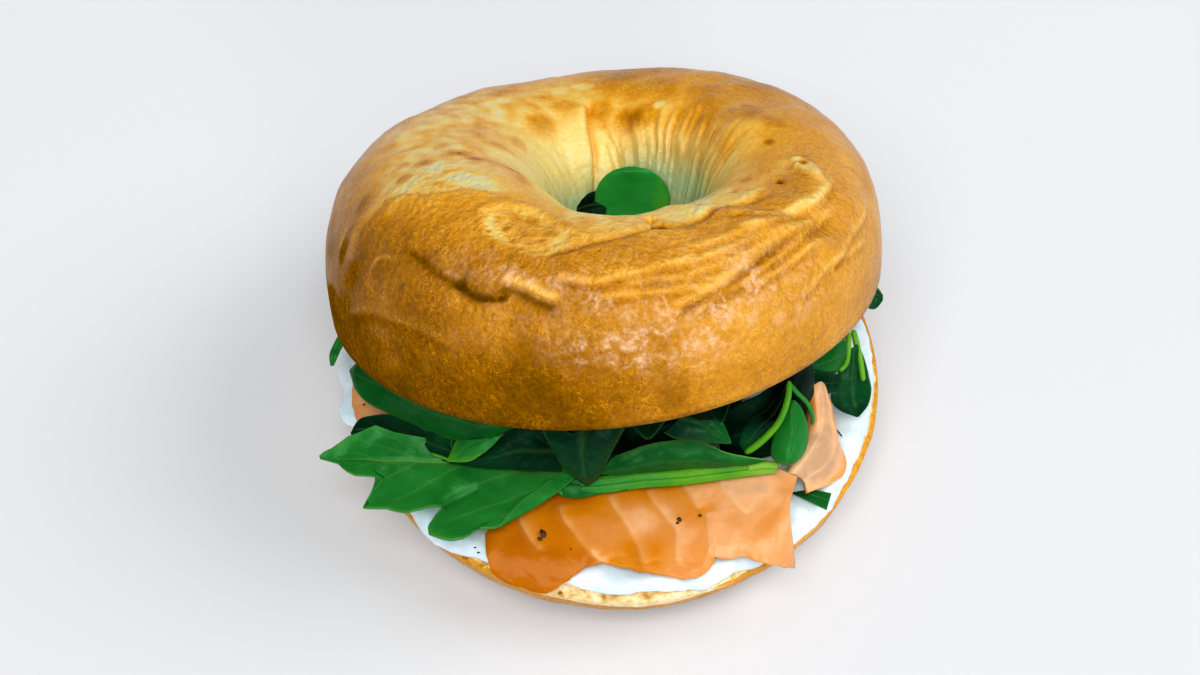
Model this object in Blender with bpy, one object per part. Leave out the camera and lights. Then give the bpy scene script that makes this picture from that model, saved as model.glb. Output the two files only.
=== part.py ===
"""Bagel sandwich: a sliced bagel, its lid leaning back on a heap of rocket, over smoked salmon and soft cheese.

The origin is on the table under the middle of the whole sandwich. +X is to the right and +Y to the back, and
the lid opens towards -Y, the front. The base lies flat on its underside.
"""

import math
import random

import bmesh
import bpy
from mathutils import Matrix, Vector, noise

MM = 0.001

# The bagel's axis, off the origin because leaves and the lid reach further to the left
AXIS = Vector((1.9 * MM, -0.2 * MM, 0.0))

# The base
BASE_RADIUS = 53.4 * MM
BASE_DEPTH_SHARE = 1.03  # it is a little longer front to back than it is wide
BASE_HEIGHT = 16.0 * MM
BASE_HOLE = 12.5 * MM
FOOT_INNER = 0.26  # the flat underside runs between these shares of the way from hole to rim
FOOT_OUTER = 0.62

# The lid, in its own frame
LID_RADIUS = 54.8 * MM
LID_HEIGHT = 28.1 * MM
LID_CREST = 0.47  # share of the way from hole to rim where the crust is highest
LID_HOLE = 12.5 * MM
HOLE_SHIFT = Vector((5.2 * MM, 1.2 * MM, 0.0))  # its hole sits right of its middle

# How the lid rests on the filling
LID_CENTRE = Vector((-1.9 * MM, 2.0 * MM, 44.0 * MM))
LID_TILT = math.radians(-24.1)
LID_ROLL = math.radians(-4.0)

# The layers on the base, from its cut face up
GAP = 0.35 * MM
CHEESE_THICKNESS = 2.2 * MM
CHEESE_INNER = 15.0 * MM
CHEESE_OUTER = 50.6 * MM
SALMON_THICKNESS = 2.5 * MM
LEAF_THICKNESS = 0.9 * MM
CORE_RADIUS = 29.0 * MM

CHEESE_TOP = BASE_HEIGHT + GAP + CHEESE_THICKNESS
SALMON_TOP = CHEESE_TOP + GAP + SALMON_THICKNESS
CORE_FLOOR = SALMON_TOP + 3 * GAP


def clear_scene():
    for thing in list(bpy.data.objects):
        bpy.data.objects.remove(thing, do_unlink=True)


def material(name, colour, roughness):
    made = bpy.data.materials.new(name)
    made.use_nodes = True
    shader = made.node_tree.nodes["Principled BSDF"]
    shader.inputs["Base Color"].default_value = (*colour, 1.0)
    shader.inputs["Roughness"].default_value = roughness
    shader.inputs["Metallic"].default_value = 0.0
    return made


def object_from(bm, name, finish, smooth_angle=50):
    """Turns bm into a named object, with its faces pointing out and its round faces shaded smooth."""
    bmesh.ops.recalc_face_normals(bm, faces=bm.faces)
    mesh = bpy.data.meshes.new(name)
    bm.to_mesh(mesh)
    bm.free()
    mesh.shade_smooth()
    mesh.set_sharp_from_angle(angle=math.radians(smooth_angle))
    mesh.materials.append(finish)
    made = bpy.data.objects.new(name, mesh)
    bpy.context.scene.collection.objects.link(made)
    return made


def bump(distance, width):
    """A smooth hump, 1 at no distance and near 0 past its width."""
    return math.exp(-((distance / width) ** 2))


def turn_between(a, b):
    """The signed angle from b to a, between minus pi and pi."""
    return (a - b + math.pi) % math.tau - math.pi


def polar(radius, angle, height=0.0):
    return Vector((radius * math.cos(angle), radius * math.sin(angle), height))


def smooth_path(points, share):
    """The point at share of the way along a smooth curve through the points."""
    spans = len(points) - 1
    place = min(max(share, 0.0), 1.0) * spans
    i = min(int(place), spans - 1)
    t = place - i
    a, b = points[i], points[i + 1]
    before = points[i - 1] if i > 0 else 2 * a - b
    after = points[i + 2] if i + 2 <= spans else 2 * b - a
    bend = 2 * before - 5 * a + 4 * b - after
    return 0.5 * (2 * a + (b - before) * t + bend * t**2 + (3 * a - before - 3 * b + after) * t**3)


def ring(name, finish, steps, section_at):
    """A closed ring: section_at(angle) gives one section's points, and neighbours are bridged with quads."""
    bm = bmesh.new()
    loops = []
    for step in range(steps):
        points = section_at(math.tau * step / steps)
        loops.append([bm.verts.new(point) for point in points])
    for here, after in zip(loops, loops[1:] + loops[:1]):
        for j in range(len(here)):
            k = (j + 1) % len(here)
            bm.faces.new((here[j], here[k], after[k], after[j]))
    return object_from(bm, name, finish)


def lid_rim(angle):
    """The lid's outline radius: a circle that a hand has pushed a little out of round."""
    oval = -0.003 * math.cos(2 * angle) + 0.019 * math.sin(2 * angle)
    return LID_RADIUS * (1 + oval + 0.008 * math.sin(3 * angle))


def lid_height(angle):
    """The crest's height over the cut face: the crust is puffiest at the front left."""
    once = -2.7 * math.cos(angle) - 1.7 * math.sin(angle)
    twice = 0.7 * math.cos(2 * angle) + 1.4 * math.sin(2 * angle)
    return LID_HEIGHT + (once + twice) * MM


def lid_relief(angle, around):
    """Height of the crust's folds over its smooth shape. around runs from the rim, 0, over the crest to the hole, 1."""
    swirl = turn_between(angle + 1.5 * (around - 0.45), math.radians(-52))
    fold = 0.9 * MM * (bump(swirl, 0.10) - 0.8 * bump(swirl - 0.17, 0.07))
    fold *= bump(around - 0.42, 0.26)
    seam = -1.9 * MM * bump(turn_between(angle, math.radians(100)), 0.06) * bump(around - 0.86, 0.20)
    knot = 1.3 * MM * bump(turn_between(angle, math.radians(24)), 0.30) * bump(around - 0.62, 0.13)
    slit = -1.6 * MM * bump(turn_between(angle, math.radians(-118)), 0.12) * bump(around - 0.335, 0.03)
    lumps = 0.6 * MM * noise.noise(Vector((2.2 * math.cos(angle), 2.2 * math.sin(angle), 3.5 * around)))
    return fold + seam + knot + slit + lumps


def lid_section(angle, arc_steps=24):
    """One section of the lid in its own frame, from the cut edge at the rim over the crest to the hole."""
    rim = polar(lid_rim(angle), angle)
    hole = HOLE_SHIFT + polar(LID_HOLE * (1 + 0.05 * math.cos(3 * angle)), angle)
    inward = (rim - hole).normalized()
    points = []
    for step in range(arc_steps):
        around = step / (arc_steps - 1)
        side = math.cos(math.pi * around)
        lift = math.sin(math.pi * around)
        if side > 0:
            share = LID_CREST + (1 - LID_CREST) * (side**0.80 - 0.035 * (1 - lift) ** 3)
        else:
            share = LID_CREST * (1 - abs(side) ** 0.92) - 0.03 * (1 - lift) ** 4
        lift = max(lift, 0.0) ** 0.86
        point = hole.lerp(rim, share) + Vector((0.0, 0.0, lid_height(angle) * lift))
        normal = (inward * side + Vector((0.0, 0.0, 0.25 + lift))).normalized()
        fade = min(1.0, 5 * around, 5 * (1 - around))
        points.append(point + normal * lid_relief(angle, around) * fade)
    points[0].z = 0.0
    points[-1].z = 0.0
    return points


def make_lid(finish):
    lid = ring("bagel_lid", finish, 76, lid_section)
    lid.rotation_mode = "ZYX"
    lid.rotation_euler = (LID_TILT, LID_ROLL, 0.0)
    lid.location = AXIS + LID_CENTRE
    return lid


def lid_turn():
    return Matrix.Rotation(LID_TILT, 3, "X") @ Matrix.Rotation(LID_ROLL, 3, "Y")


def lid_underside(point):
    """The height of the lid's cut face over a point of the plan."""
    normal = lid_turn() @ Vector((0.0, 0.0, 1.0))
    centre = AXIS + LID_CENTRE
    aside = point - centre
    return centre.z - (normal.x * aside.x + normal.y * aside.y) / normal.z


def base_section(angle, side_steps=8, hole_steps=5):
    """One section of the base: a flat cut face, a side that curves under, a flat foot and a rounded hole."""
    rim = Vector((math.cos(angle), BASE_DEPTH_SHARE * math.sin(angle), 0.0)) * BASE_RADIUS
    rim *= 1 + 0.008 * math.cos(3 * angle + 2.6)
    hole = polar(BASE_HOLE, angle)
    points = []
    for step in range(side_steps):
        sweep = math.radians(90) * step / (side_steps - 1)
        share = FOOT_OUTER + (1 - FOOT_OUTER) * max(0.0, math.cos(sweep)) ** 1.25
        points.append(hole.lerp(rim, share) + Vector((0.0, 0.0, BASE_HEIGHT * (1 - math.sin(sweep)))))
    for step in range(hole_steps):
        sweep = math.radians(90) * (1 - step / (hole_steps - 1))
        share = FOOT_INNER * (1 - max(0.0, math.cos(sweep)) ** 0.75)
        points.append(hole.lerp(rim, share) + Vector((0.0, 0.0, BASE_HEIGHT * (1 - math.sin(sweep)))))
    return [AXIS + point for point in points]


def make_base(finish):
    return ring("bagel_base", finish, 64, base_section)


def cheese_outer(angle):
    """The spread's edge: ragged, and squeezed out past the rim at the left."""
    edge = CHEESE_OUTER + 0.8 * MM * math.sin(5 * angle + 0.5) + 0.6 * MM * math.sin(9 * angle)
    edge += 6.0 * MM * bump(turn_between(angle, math.radians(-173)), 0.26)
    edge += 1.6 * MM * bump(turn_between(angle, math.radians(-28)), 0.45)
    return edge


def cheese_section(angle):
    """One section of the cheese: flat below, softly humped above."""
    inner = CHEESE_INNER + 0.8 * MM * math.sin(4 * angle)
    outer = cheese_outer(angle)
    bottom = BASE_HEIGHT + GAP
    points = [polar(outer - 0.4 * MM, angle, bottom)]
    for share, lift in ((1.0, 0.4), (0.985, 0.75), (0.94, 0.97), (0.5, 0.9), (0.05, 0.92), (0.0, 0.5)):
        height = CHEESE_THICKNESS * lift * (0.95 + 0.05 * math.sin(7 * angle + 5 * share))
        points.append(polar(inner + (outer - inner) * share, angle, bottom + height))
    points.append(polar(inner, angle, bottom))
    return [AXIS + point for point in points]


def make_cheese(finish):
    return ring("soft_cheese", finish, 60, cheese_section)


def sheet(name, finish, rows, columns, point_at, thickness, thin_edge=1.0):
    """A thin solid round the middle surface point_at(u, v), both its faces split alike. Its edge may be thinner."""
    bm = bmesh.new()
    grid = []
    for i in range(rows + 1):
        grid.append([bm.verts.new(point_at(i / rows, j / columns)) for j in range(columns + 1)])
    for i in range(rows):
        for j in range(columns):
            corners = (grid[i][j], grid[i + 1][j], grid[i + 1][j + 1], grid[i][j + 1])
            bm.faces.new((corners[0], corners[1], corners[2]))
            bm.faces.new((corners[0], corners[2], corners[3]))
    made = object_from(bm, name, finish)
    inside = made.vertex_groups.new(name="inside")
    for i in range(rows + 1):
        for j in range(columns + 1):
            on_edge = i in (0, rows) or j in (0, columns)
            inside.add([i * (columns + 1) + j], thin_edge if on_edge else 1.0, "REPLACE")
    wall = made.modifiers.new("thickness", "SOLIDIFY")
    wall.thickness = thickness
    wall.offset = 0.0
    wall.vertex_group = inside.name
    with bpy.context.temp_override(object=made, active_object=made, selected_objects=[made]):
        bpy.ops.object.modifier_apply(modifier=wall.name)
    return made


def ragged(value, seed):
    """A repeatable uneven edge, between about -1 and 1."""
    return noise.noise(Vector((value, seed, 0.37 * seed)))


# Each slice lies round the ring between two angles, in degrees, with its edges at these radii, in millimetres
FLAT_SLICES = {
    "salmon_front": dict(turn=(-121, -36), slant=(3, -19), inner=(42, 36, 32, 31, 31, 32, 34, 37), rows=22, columns=6,
                         outer=(51.5, 55.4, 55.8, 52.4, 50.2, 51.4, 53.0, 50.6, 54.2, 57.5), seed=1.0, droop=0.9),
    "salmon_left": dict(turn=(-197, -148), slant=(0, 0), inner=(33, 34, 36), outer=(45, 48.5, 50.2, 52.2, 50), rows=9,
                        columns=4, seed=2.0, droop=0.0),
    "salmon_back": dict(turn=(38, 134), slant=(0, 0), inner=(33, 31, 33), outer=(43, 46, 45, 47, 44), rows=12,
                        columns=4, seed=3.0, droop=0.0),
}


def slice_point(slice_, u, v):
    """A point of a flat slice's middle surface: u runs along it and v from its inner to its outer edge."""
    start, end = (turn + slant * v for turn, slant in zip(slice_["turn"], slice_["slant"]))
    torn = 3.0 * ragged(2.5 * v, slice_["seed"]) * abs(2 * u - 1) ** 3
    angle = math.radians(start + (end - start) * u + torn)
    inner = smooth_path(slice_["inner"], u)
    outer = smooth_path(slice_["outer"], u) + 0.5 * ragged(14 * u, slice_["seed"] + 4)
    radius = (inner + (outer - inner) * v) * MM
    height = CHEESE_TOP + GAP + SALMON_THICKNESS / 2
    height += 0.35 * MM * (1 + math.sin(26 * u + 3 * v)) * min(1.0, 4 * v)
    over = max(0.0, radius - 53.5 * MM)
    if over > 0 and slice_["droop"]:
        height -= slice_["droop"] * over * min(1.0, over / (1.5 * MM))
        radius += 0.8 * MM
    return AXIS + polar(radius, angle, height)


def make_flat_slice(name, finish):
    slice_ = FLAT_SLICES[name]

    def point_at(u, v):
        return slice_point(slice_, u, v)

    return sheet(name, finish, slice_["rows"], slice_["columns"], point_at, SALMON_THICKNESS, 0.55)


# The folded slice at the right: three lines along it, in millimetres from the bagel's axis
FOLD_FOOT = [Vector(p) for p in ((36.5, -17.5, 23.2), (37.2, -24, 21.6), (36.4, -29.5, 20.6), (36.6, -32.6, 20.4))]
FOLD_RIDGE = [Vector(p) for p in ((39.6, -14.2, 30.0), (40.2, -20.5, 29.0), (40.6, -27, 25.4), (40.4, -31.8, 21.6))]
FOLD_RIM = [Vector(p) for p in ((42.8, -15.6, 26.5), (43.9, -22.5, 23.6), (45.9, -26.8, 20.8), (43.9, -31.2, 20.2))]


def fold_point(u, v):
    """A point of the folded slice: up from its foot over the ridge and down to its outer edge."""
    foot, ridge, rim = (smooth_path(line, u) for line in (FOLD_FOOT, FOLD_RIDGE, FOLD_RIM))
    if v < 0.5:
        t = 2 * v
        point = foot.lerp(ridge, t) + Vector((-1.3, 0.0, 0.6)) * math.sin(math.pi * t)
    else:
        t = 2 * v - 1
        point = ridge.lerp(rim, t) + Vector((1.1, 0.0, 0.5)) * math.sin(math.pi * t)
    return AXIS + point * MM


def make_fold(finish):
    return sheet("salmon_fold", finish, 12, 8, fold_point, 1.9 * MM, 0.6)


def edge_reach(leaf, share, other_side):
    """Where a leaf's edge lies for a place on its midrib: how far along, as a share, and how far out, in millimetres."""
    outline = leaf.get("other_edge" if other_side else "edge")
    if outline:
        place = share * (len(outline) - 1)
        i = min(int(place), len(outline) - 2)
        t = place - i
        along = outline[i][0] * (1 - t) + outline[i + 1][0] * t
        out = outline[i][1] * (1 - t) + outline[i + 1][1] * t
        return along, out
    stalk = leaf.get("stalk", 0.12)
    t = max(0.0, (share - stalk) / (1 - stalk))
    blade = max(0.0, math.sin(math.pi * t ** leaf.get("belly", 0.8))) ** leaf.get("point", 0.7)
    return share, leaf["width"] * max(0.10, blade)


def leaf_point(leaf, share, across):
    """A point of a leaf's middle surface: across is -1 at one edge, 0 on the midrib and 1 at the other."""
    spine = [Vector(point) for point in leaf["spine"]]
    edge_share, out = edge_reach(leaf, share, across < 0)
    here = share + (edge_share - share) * abs(across)
    ahead = smooth_path(spine, min(1.0, here + 0.03)) - smooth_path(spine, max(0.0, here - 0.03))
    ahead.normalize()
    side = Vector(leaf["side"])
    side = (side - ahead * side.dot(ahead)).normalized()
    normal = ahead.cross(side)
    if normal.z < 0:
        normal = -normal
    curl = leaf.get("curl", 0.4)
    flat = math.sin(curl * abs(across)) / curl * math.copysign(out, across)
    rise = (1 - math.cos(curl * abs(across))) / curl * out
    rise += leaf.get("wave", 0.5) * abs(across) * math.sin(leaf.get("waves", 2.5) * math.tau * share + 2 * across)
    point = AXIS + (smooth_path(spine, here) + side * flat + normal * rise) * MM
    return kept_clear(point, leaf.get("in_hole", False))


def kept_clear(point, in_hole):
    """Keeps a leaf's point over the salmon or the cheese that it lies on, and under the lid."""
    aside = point - AXIS
    angle = math.degrees(math.atan2(aside.y, aside.x))
    turn = -128 < angle < -46 or 32 < angle < 140 or angle < -140 or angle > 157
    floor = SALMON_TOP + 3 * GAP if turn else CHEESE_TOP + 2 * GAP
    placed = point.copy()
    if aside.xy.length < 56 * MM:
        placed.z = max(placed.z, floor + LEAF_THICKNESS / 2)
    if not in_hole:
        placed.z = min(placed.z, lid_underside(placed) - LEAF_THICKNESS)
    return placed


def make_leaf(name, finish, leaf):
    columns = leaf.get("columns", 2)

    def point_at(u, v):
        return leaf_point(leaf, 0.01 + 0.98 * u, 2 * v - 1)

    return sheet(name, finish, leaf.get("rows", 9), columns, point_at, leaf.get("thick", 0.9) * MM)


# The leaves at the front. Each has its midrib from stalk to tip, in millimetres from the bagel's axis, the way
# its blade lies, and its half-width or its two edges as pairs of a share along the midrib and a reach out of it
FRONT_LEAVES = {
    "lobed": dict(
        spine=[(2, -28, 26.5), (-11.9, -31.9, 26.4), (-30.6, -30.6, 26.8), (-45.9, -29.8, 25.8), (-58.3, -27.9, 24)],
        side=(0, -1, -0.28), rows=15, columns=4, curl=0.3, wave=0.25, waves=3,
        edge=[(0.0, 0.9), (0.16, 1.0), (0.28, 3.5), (0.37, 8.0), (0.44, 12.0), (0.51, 15.0), (0.58, 15.8),
              (0.63, 12.8), (0.635, 10.0), (0.72, 10.6), (0.84, 9.6), (0.80, 6.0), (0.77, 2.8), (0.84, 2.7),
              (0.90, 2.6), (1.0, 0.1)],
        other_edge=[(0.0, 0.9), (0.1, 1.0), (0.2, 1.1), (0.3, 1.3), (0.38, 1.6), (0.45, 2.2), (0.52, 3.4), (0.57, 2.2),
                    (0.64, 3.0), (0.72, 5.0), (0.80, 7.2), (0.82, 5.0), (0.86, 4.4), (0.90, 3.8), (0.95, 2.2),
                    (1.0, 0.1)]),
    "long": dict(spine=[(-6, -22, 38), (-22, -25.5, 36), (-38, -20, 32.8), (-51, -11.5, 28.8)], width=6.2,
                 side=(-0.35, -0.6, -0.7), belly=0.75, curl=0.5),
    "light_tip": dict(spine=[(-12, -22, 37), (-25, -29.6, 34), (-32.6, -32.5, 29)], width=3.4,
                      side=(0.2, -0.7, -0.7), rows=6),
    "low_dark": dict(spine=[(-18, -16, 28), (-38, -21, 27.6), (-52.3, -21.3, 24.6)], width=4.6, side=(0, -1, -0.2)),
    "mid_dark": dict(spine=[(2, -24, 39), (-13, -30.8, 35), (-28, -31.5, 29)], width=6.0, side=(0, -0.6, -0.8)),
    "teal": dict(spine=[(-7.4, -24, 48), (-7.0, -33.6, 37), (-5.7, -36.4, 26.8)], width=7.0, side=(1, 0, 0),
                 belly=0.6),
    "low_curl": dict(spine=[(-14, -26, 26.5), (-11.5, -36.4, 24.6), (-1.5, -36.4, 24.6)], width=2.8,
                     side=(0.3, -0.7, -0.3), rows=8),
    "wide": dict(spine=[(-8, -26, 31), (3, -34.6, 31.6), (16, -33.4, 32.6), (28, -29.6, 31)], width=5.6,
                 side=(0, 0.3, 1), curl=0.6),
    "flat_stem": dict(spine=[(-14, -28, 25.6), (0.7, -35.2, 25.2), (16.5, -33.6, 25.6), (31.2, -31.2, 25.8)],
                      width=1.7, side=(0, -0.6, 0.8), belly=0.5, rows=7, thick=1.5),
    "curled_right": dict(spine=[(25, -17, 40), (32.6, -24, 36.5), (36.2, -27, 29.5), (34.0, -29.4, 25.2)], width=4.6,
                         side=(1, 0.4, 0.2), belly=0.6),
    "curled_left": dict(spine=[(22, -14, 42), (27, -23.6, 37), (24.5, -28.2, 29.5)], width=5.0, side=(0.9, 0.2, 0.3)),
    "pale_stem": dict(spine=[(20, -24.4, 27.8), (29.9, -29.4, 31), (33.4, -27.0, 36), (28, -16, 42)], width=1.0,
                      side=(0.4, 0.1, 1), stalk=0.0, rows=6, thick=1.4),
    "right_dark": dict(spine=[(24, -2, 34), (41, 2.5, 31), (49.5, -5, 25.2), (49.6, -16.4, 21.6)], width=5.4,
                       side=(1, 0.3, -0.4), rows=10),
    "right_upper": dict(spine=[(20, -10, 38), (36, -11.5, 35), (46, -8, 28.5)], width=5.0, side=(0.2, -1, -0.3)),
    "in_hole": dict(spine=[(3, 0, 38), (3.4, 13.2, 46), (3.6, 19.6, 55.2)], width=7.4, side=(1, 0.05, 0),
                    belly=1.2, point=0.45, in_hole=True, curl=0.5, wave=0.2),
    "in_hole_low": dict(spine=[(-1, -2, 38), (-3.4, 6.4, 44.2), (-4.6, 10.6, 47)], width=2.8, side=(1, 0.3, 0.2),
                        in_hole=True, rows=6, wave=0.2),
}

# Each further leaf: the turn of its tip in degrees, how far out it ends, and the share of the height from the
# core's floor to the lid where it starts and where it ends
SIDE_LEAVES = [
    (-142, 46, 0.72, 0.60), (-118, 42, 0.80, 0.82), (-92, 43, 0.74, 0.72), (-66, 42, 0.84, 0.80), (-40, 45, 0.74, 0.66),
    (-12, 47, 0.80, 0.55), (14, 50, 0.55, 0.20), (34, 47, 0.75, 0.52), (56, 49, 0.55, 0.25), (76, 46, 0.75, 0.60),
    (98, 49, 0.55, 0.30), (118, 46, 0.75, 0.55), (138, 50, 0.55, 0.25), (158, 48, 0.75, 0.50), (176, 52, 0.50, 0.22),
    (196, 49, 0.80, 0.62), (-152, 44, 0.50, 0.36), (-128, 42, 0.62, 0.50), (-104, 41, 0.56, 0.54),
    (-80, 41, 0.62, 0.50), (-56, 41, 0.60, 0.48), (-24, 43, 0.56, 0.34), (4, 45, 0.66, 0.44), (-170, 46, 0.62, 0.44),
]


def side_leaves():
    """The leaves round the heap, each turned and bent a little differently."""
    draw = random.Random(7)
    leaves = {}
    for number, (turn, reach, start, end) in enumerate(SIDE_LEAVES):
        angle = math.radians(turn)
        swing = math.radians(draw.uniform(-24, 24))
        spine = []
        for radius, bearing, share in ((18, angle + swing, start), (34, angle + swing / 2, (start + end) / 2 + 0.06),
                                       (reach, angle, end)):
            point = AXIS + polar(radius * MM, bearing)
            height = CORE_FLOOR + (lid_underside(point) - CORE_FLOOR) * share
            spine.append((radius * math.cos(bearing), radius * math.sin(bearing), height / MM))
        tangent = angle + math.radians(90)
        side = (math.cos(tangent), math.sin(tangent), draw.uniform(-0.5, 0.5))
        leaves["side_%d" % number] = dict(spine=spine, side=side, width=draw.uniform(4.6, 7.0), rows=7,
                                          curl=draw.uniform(0.2, 0.7), wave=0.4)
    return leaves


def make_core(finish):
    """The heap's core, a wedge with a scalloped side, closed by a fan above and below."""
    bm = bmesh.new()
    loops = []
    steps = 28
    for step in range(steps):
        angle = math.tau * step / steps
        loop = []
        for share in (0.0, 0.3, 0.65, 1.0):
            radius = CORE_RADIUS * (1 + 0.05 * math.sin(5 * angle) + 0.06 * math.sin(math.pi * share))
            flat = AXIS + polar(radius, angle)
            top = lid_underside(flat) - 2 * GAP
            loop.append(bm.verts.new(Vector((flat.x, flat.y, CORE_FLOOR + (top - CORE_FLOOR) * share))))
        loops.append(loop)
    low = bm.verts.new(AXIS + Vector((0.0, 0.0, CORE_FLOOR)))
    high = bm.verts.new(Vector((AXIS.x, AXIS.y, lid_underside(AXIS) - 2 * GAP)))
    for here, after in zip(loops, loops[1:] + loops[:1]):
        for j in range(len(here) - 1):
            bm.faces.new((here[j], after[j], after[j + 1], here[j + 1]))
        bm.faces.new((low, after[0], here[0]))
        bm.faces.new((high, here[-1], after[-1]))
    return object_from(bm, "rocket_salad", finish)


def fuse(body, pieces):
    """Joins the pieces to the body by one Boolean union, and removes them."""
    group = bpy.data.collections.new("pieces")
    bpy.context.scene.collection.children.link(group)
    for piece in pieces:
        group.objects.link(piece)
        bpy.context.scene.collection.objects.unlink(piece)
    union = body.modifiers.new("union", "BOOLEAN")
    union.operation = "UNION"
    union.solver = "MANIFOLD"
    union.operand_type = "COLLECTION"
    union.collection = group
    with bpy.context.temp_override(object=body, active_object=body, selected_objects=[body]):
        bpy.ops.object.modifier_apply(modifier=union.name)
    for piece in pieces:
        bpy.data.objects.remove(piece, do_unlink=True)
    bpy.data.collections.remove(group)


def keep_outside(body):
    """Fills the hollows that the union sealed, and drops loose scraps, by keeping only the largest shell."""
    bm = bmesh.new()
    bm.from_mesh(body.data)
    waiting = set(bm.faces)
    shells = []
    while waiting:
        shell = {waiting.pop()}
        front = list(shell)
        while front:
            face = front.pop()
            for edge in face.edges:
                for near in edge.link_faces:
                    if near in waiting:
                        waiting.remove(near)
                        shell.add(near)
                        front.append(near)
        shells.append(shell)
    largest = max(shells, key=len)
    dropped = [face for shell in shells if shell is not largest for face in shell]
    bmesh.ops.delete(bm, geom=dropped, context="FACES")
    bm.to_mesh(body.data)
    bm.free()


def make_salad(finish):
    core = make_core(finish)
    leaves = {**FRONT_LEAVES, **side_leaves()}
    fuse(core, [make_leaf(name, finish, leaf) for name, leaf in leaves.items()])
    keep_outside(core)
    return core


def make_loose_leaf(finish):
    """The leaf tip that lies by itself on the cheese at the right."""
    leaf = dict(spine=[(37.6, -34.6, 20), (40, -34.4, 20), (43.4, -35.4, 19.8)], width=2.3, side=(0.1, -1, 0),
                rows=6, stalk=0.0, belly=0.6, wave=0.1)
    return make_leaf("rocket_leaf", finish, leaf)


def main():
    clear_scene()
    crust = material("crust", (0.60, 0.27, 0.045), 0.45)
    cheese = material("soft_cheese", (0.86, 0.88, 0.86), 0.35)
    fish = material("smoked_salmon", (0.82, 0.27, 0.07), 0.30)
    green = material("rocket", (0.03, 0.16, 0.02), 0.40)
    make_base(crust)
    make_cheese(cheese)
    for name in FLAT_SLICES:
        make_flat_slice(name, fish)
    make_fold(fish)
    make_loose_leaf(green)
    make_salad(green)
    make_lid(crust)


main()
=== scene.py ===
# Bagel sandwich with smoked salmon, soft cheese and rocket: its pieces, their finishes and the studio.
# Lengths in the tables are millimetres from the bagel's axis and the table top, and angles are degrees.

import math
import random

import bpy
import numpy as np
from mathutils import Matrix, Vector, noise


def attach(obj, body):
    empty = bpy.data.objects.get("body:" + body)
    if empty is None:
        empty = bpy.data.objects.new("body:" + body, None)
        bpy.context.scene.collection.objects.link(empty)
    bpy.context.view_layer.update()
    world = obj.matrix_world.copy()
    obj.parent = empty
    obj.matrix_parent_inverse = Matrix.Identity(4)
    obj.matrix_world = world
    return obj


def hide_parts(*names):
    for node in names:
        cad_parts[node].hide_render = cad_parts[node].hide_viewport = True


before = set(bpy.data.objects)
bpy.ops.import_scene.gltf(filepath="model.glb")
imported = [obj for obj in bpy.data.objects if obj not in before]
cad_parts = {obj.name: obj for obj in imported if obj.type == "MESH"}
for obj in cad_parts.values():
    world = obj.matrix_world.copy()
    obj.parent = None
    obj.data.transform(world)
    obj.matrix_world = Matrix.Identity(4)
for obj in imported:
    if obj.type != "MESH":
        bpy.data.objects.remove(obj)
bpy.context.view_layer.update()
print("frame loaded")

mm = 0.001
fullTurn = math.tau
bagelAxis = Vector((1.9, -0.2, 0.0))  # where the bagel's axis stands in the frame

# ---- tools used by every piece ----


def selectOnly(piece):
    bpy.ops.object.select_all(action="DESELECT")
    piece.select_set(True)
    bpy.context.view_layer.objects.active = piece


def takeNew(name):
    piece = bpy.context.active_object
    piece.name = piece.data.name = name
    return piece


def addShape(operation, name, **settings):
    bpy.ops.object.select_all(action="DESELECT")
    operation(**settings)
    return takeNew(name)


def readVectors(piece, what="co"):
    flat = np.empty(len(piece.data.vertices) * 3, np.float32)
    piece.data.vertices.foreach_get(what, flat)
    return flat.reshape(-1, 3).astype(np.float64)


def writePoints(piece, points):
    # from millimetres from the bagel's axis to metres in the frame
    placed = (np.asarray(points, float) + np.array(bagelAxis)) * mm
    piece.data.vertices.foreach_set("co", placed.astype(np.float32).ravel())
    piece.data.update()


def storeValues(piece, **values):
    for name, value in values.items():
        layer = piece.data.attributes.new(name, "FLOAT", "POINT")
        layer.data.foreach_set("value", np.full(len(piece.data.vertices), value, np.float32))


def addTorus(name, turnSteps, ringSteps, radius, girth):
    # each point's turn round the axis, in radians, and its step round the section, from outside over the top
    piece = addShape(bpy.ops.mesh.primitive_torus_add, name, major_segments=turnSteps // 2,
                     minor_segments=ringSteps // 2, major_radius=radius, minor_radius=girth)
    bpy.ops.object.mode_set(mode="EDIT")
    bpy.ops.mesh.select_all(action="SELECT")
    bpy.ops.mesh.subdivide(number_cuts=1)
    bpy.ops.object.mode_set(mode="OBJECT")
    points = readVectors(piece)
    turn = np.arctan2(points[:, 1], points[:, 0]) / fullTurn * turnSteps
    step = np.arctan2(points[:, 2], np.hypot(points[:, 0], points[:, 1]) - radius) / fullTurn * ringSteps
    return piece, fullTurn * np.round(turn) / turnSteps, np.round(step).astype(int) % ringSteps


def addGrid(name, alongSteps, acrossSteps):
    piece = addShape(bpy.ops.mesh.primitive_grid_add, name, size=2.0,
                     x_subdivisions=alongSteps, y_subdivisions=acrossSteps)
    points = readVectors(piece)
    return piece, (points[:, 0] + 1) / 2, (points[:, 1] + 1) / 2


def joinAll(pieces, name):
    bpy.ops.object.select_all(action="DESELECT")
    for piece in pieces:
        piece.select_set(True)
    bpy.context.view_layer.objects.active = pieces[0]
    bpy.ops.object.join()
    return takeNew(name)


def noiseAt(points, size, seed=0.0):
    # smooth noise between about -1 and 1, with lumps of the given size
    shift = Vector((seed * 7.3, seed * 3.1, seed * 5.7))
    return np.array([noise.noise(Vector(point) / size + shift) for point in points])


def lumpsAt(points, *layers):
    # layers of noise, each with its strength, size and seed
    return sum(strength * noiseAt(points, size, seed) for strength, size, seed in layers)


def hump(distance, width):
    return np.exp(-((distance / width) ** 2))


def turnBetween(a, b):
    return (a - b + math.pi) % fullTurn - math.pi


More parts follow.
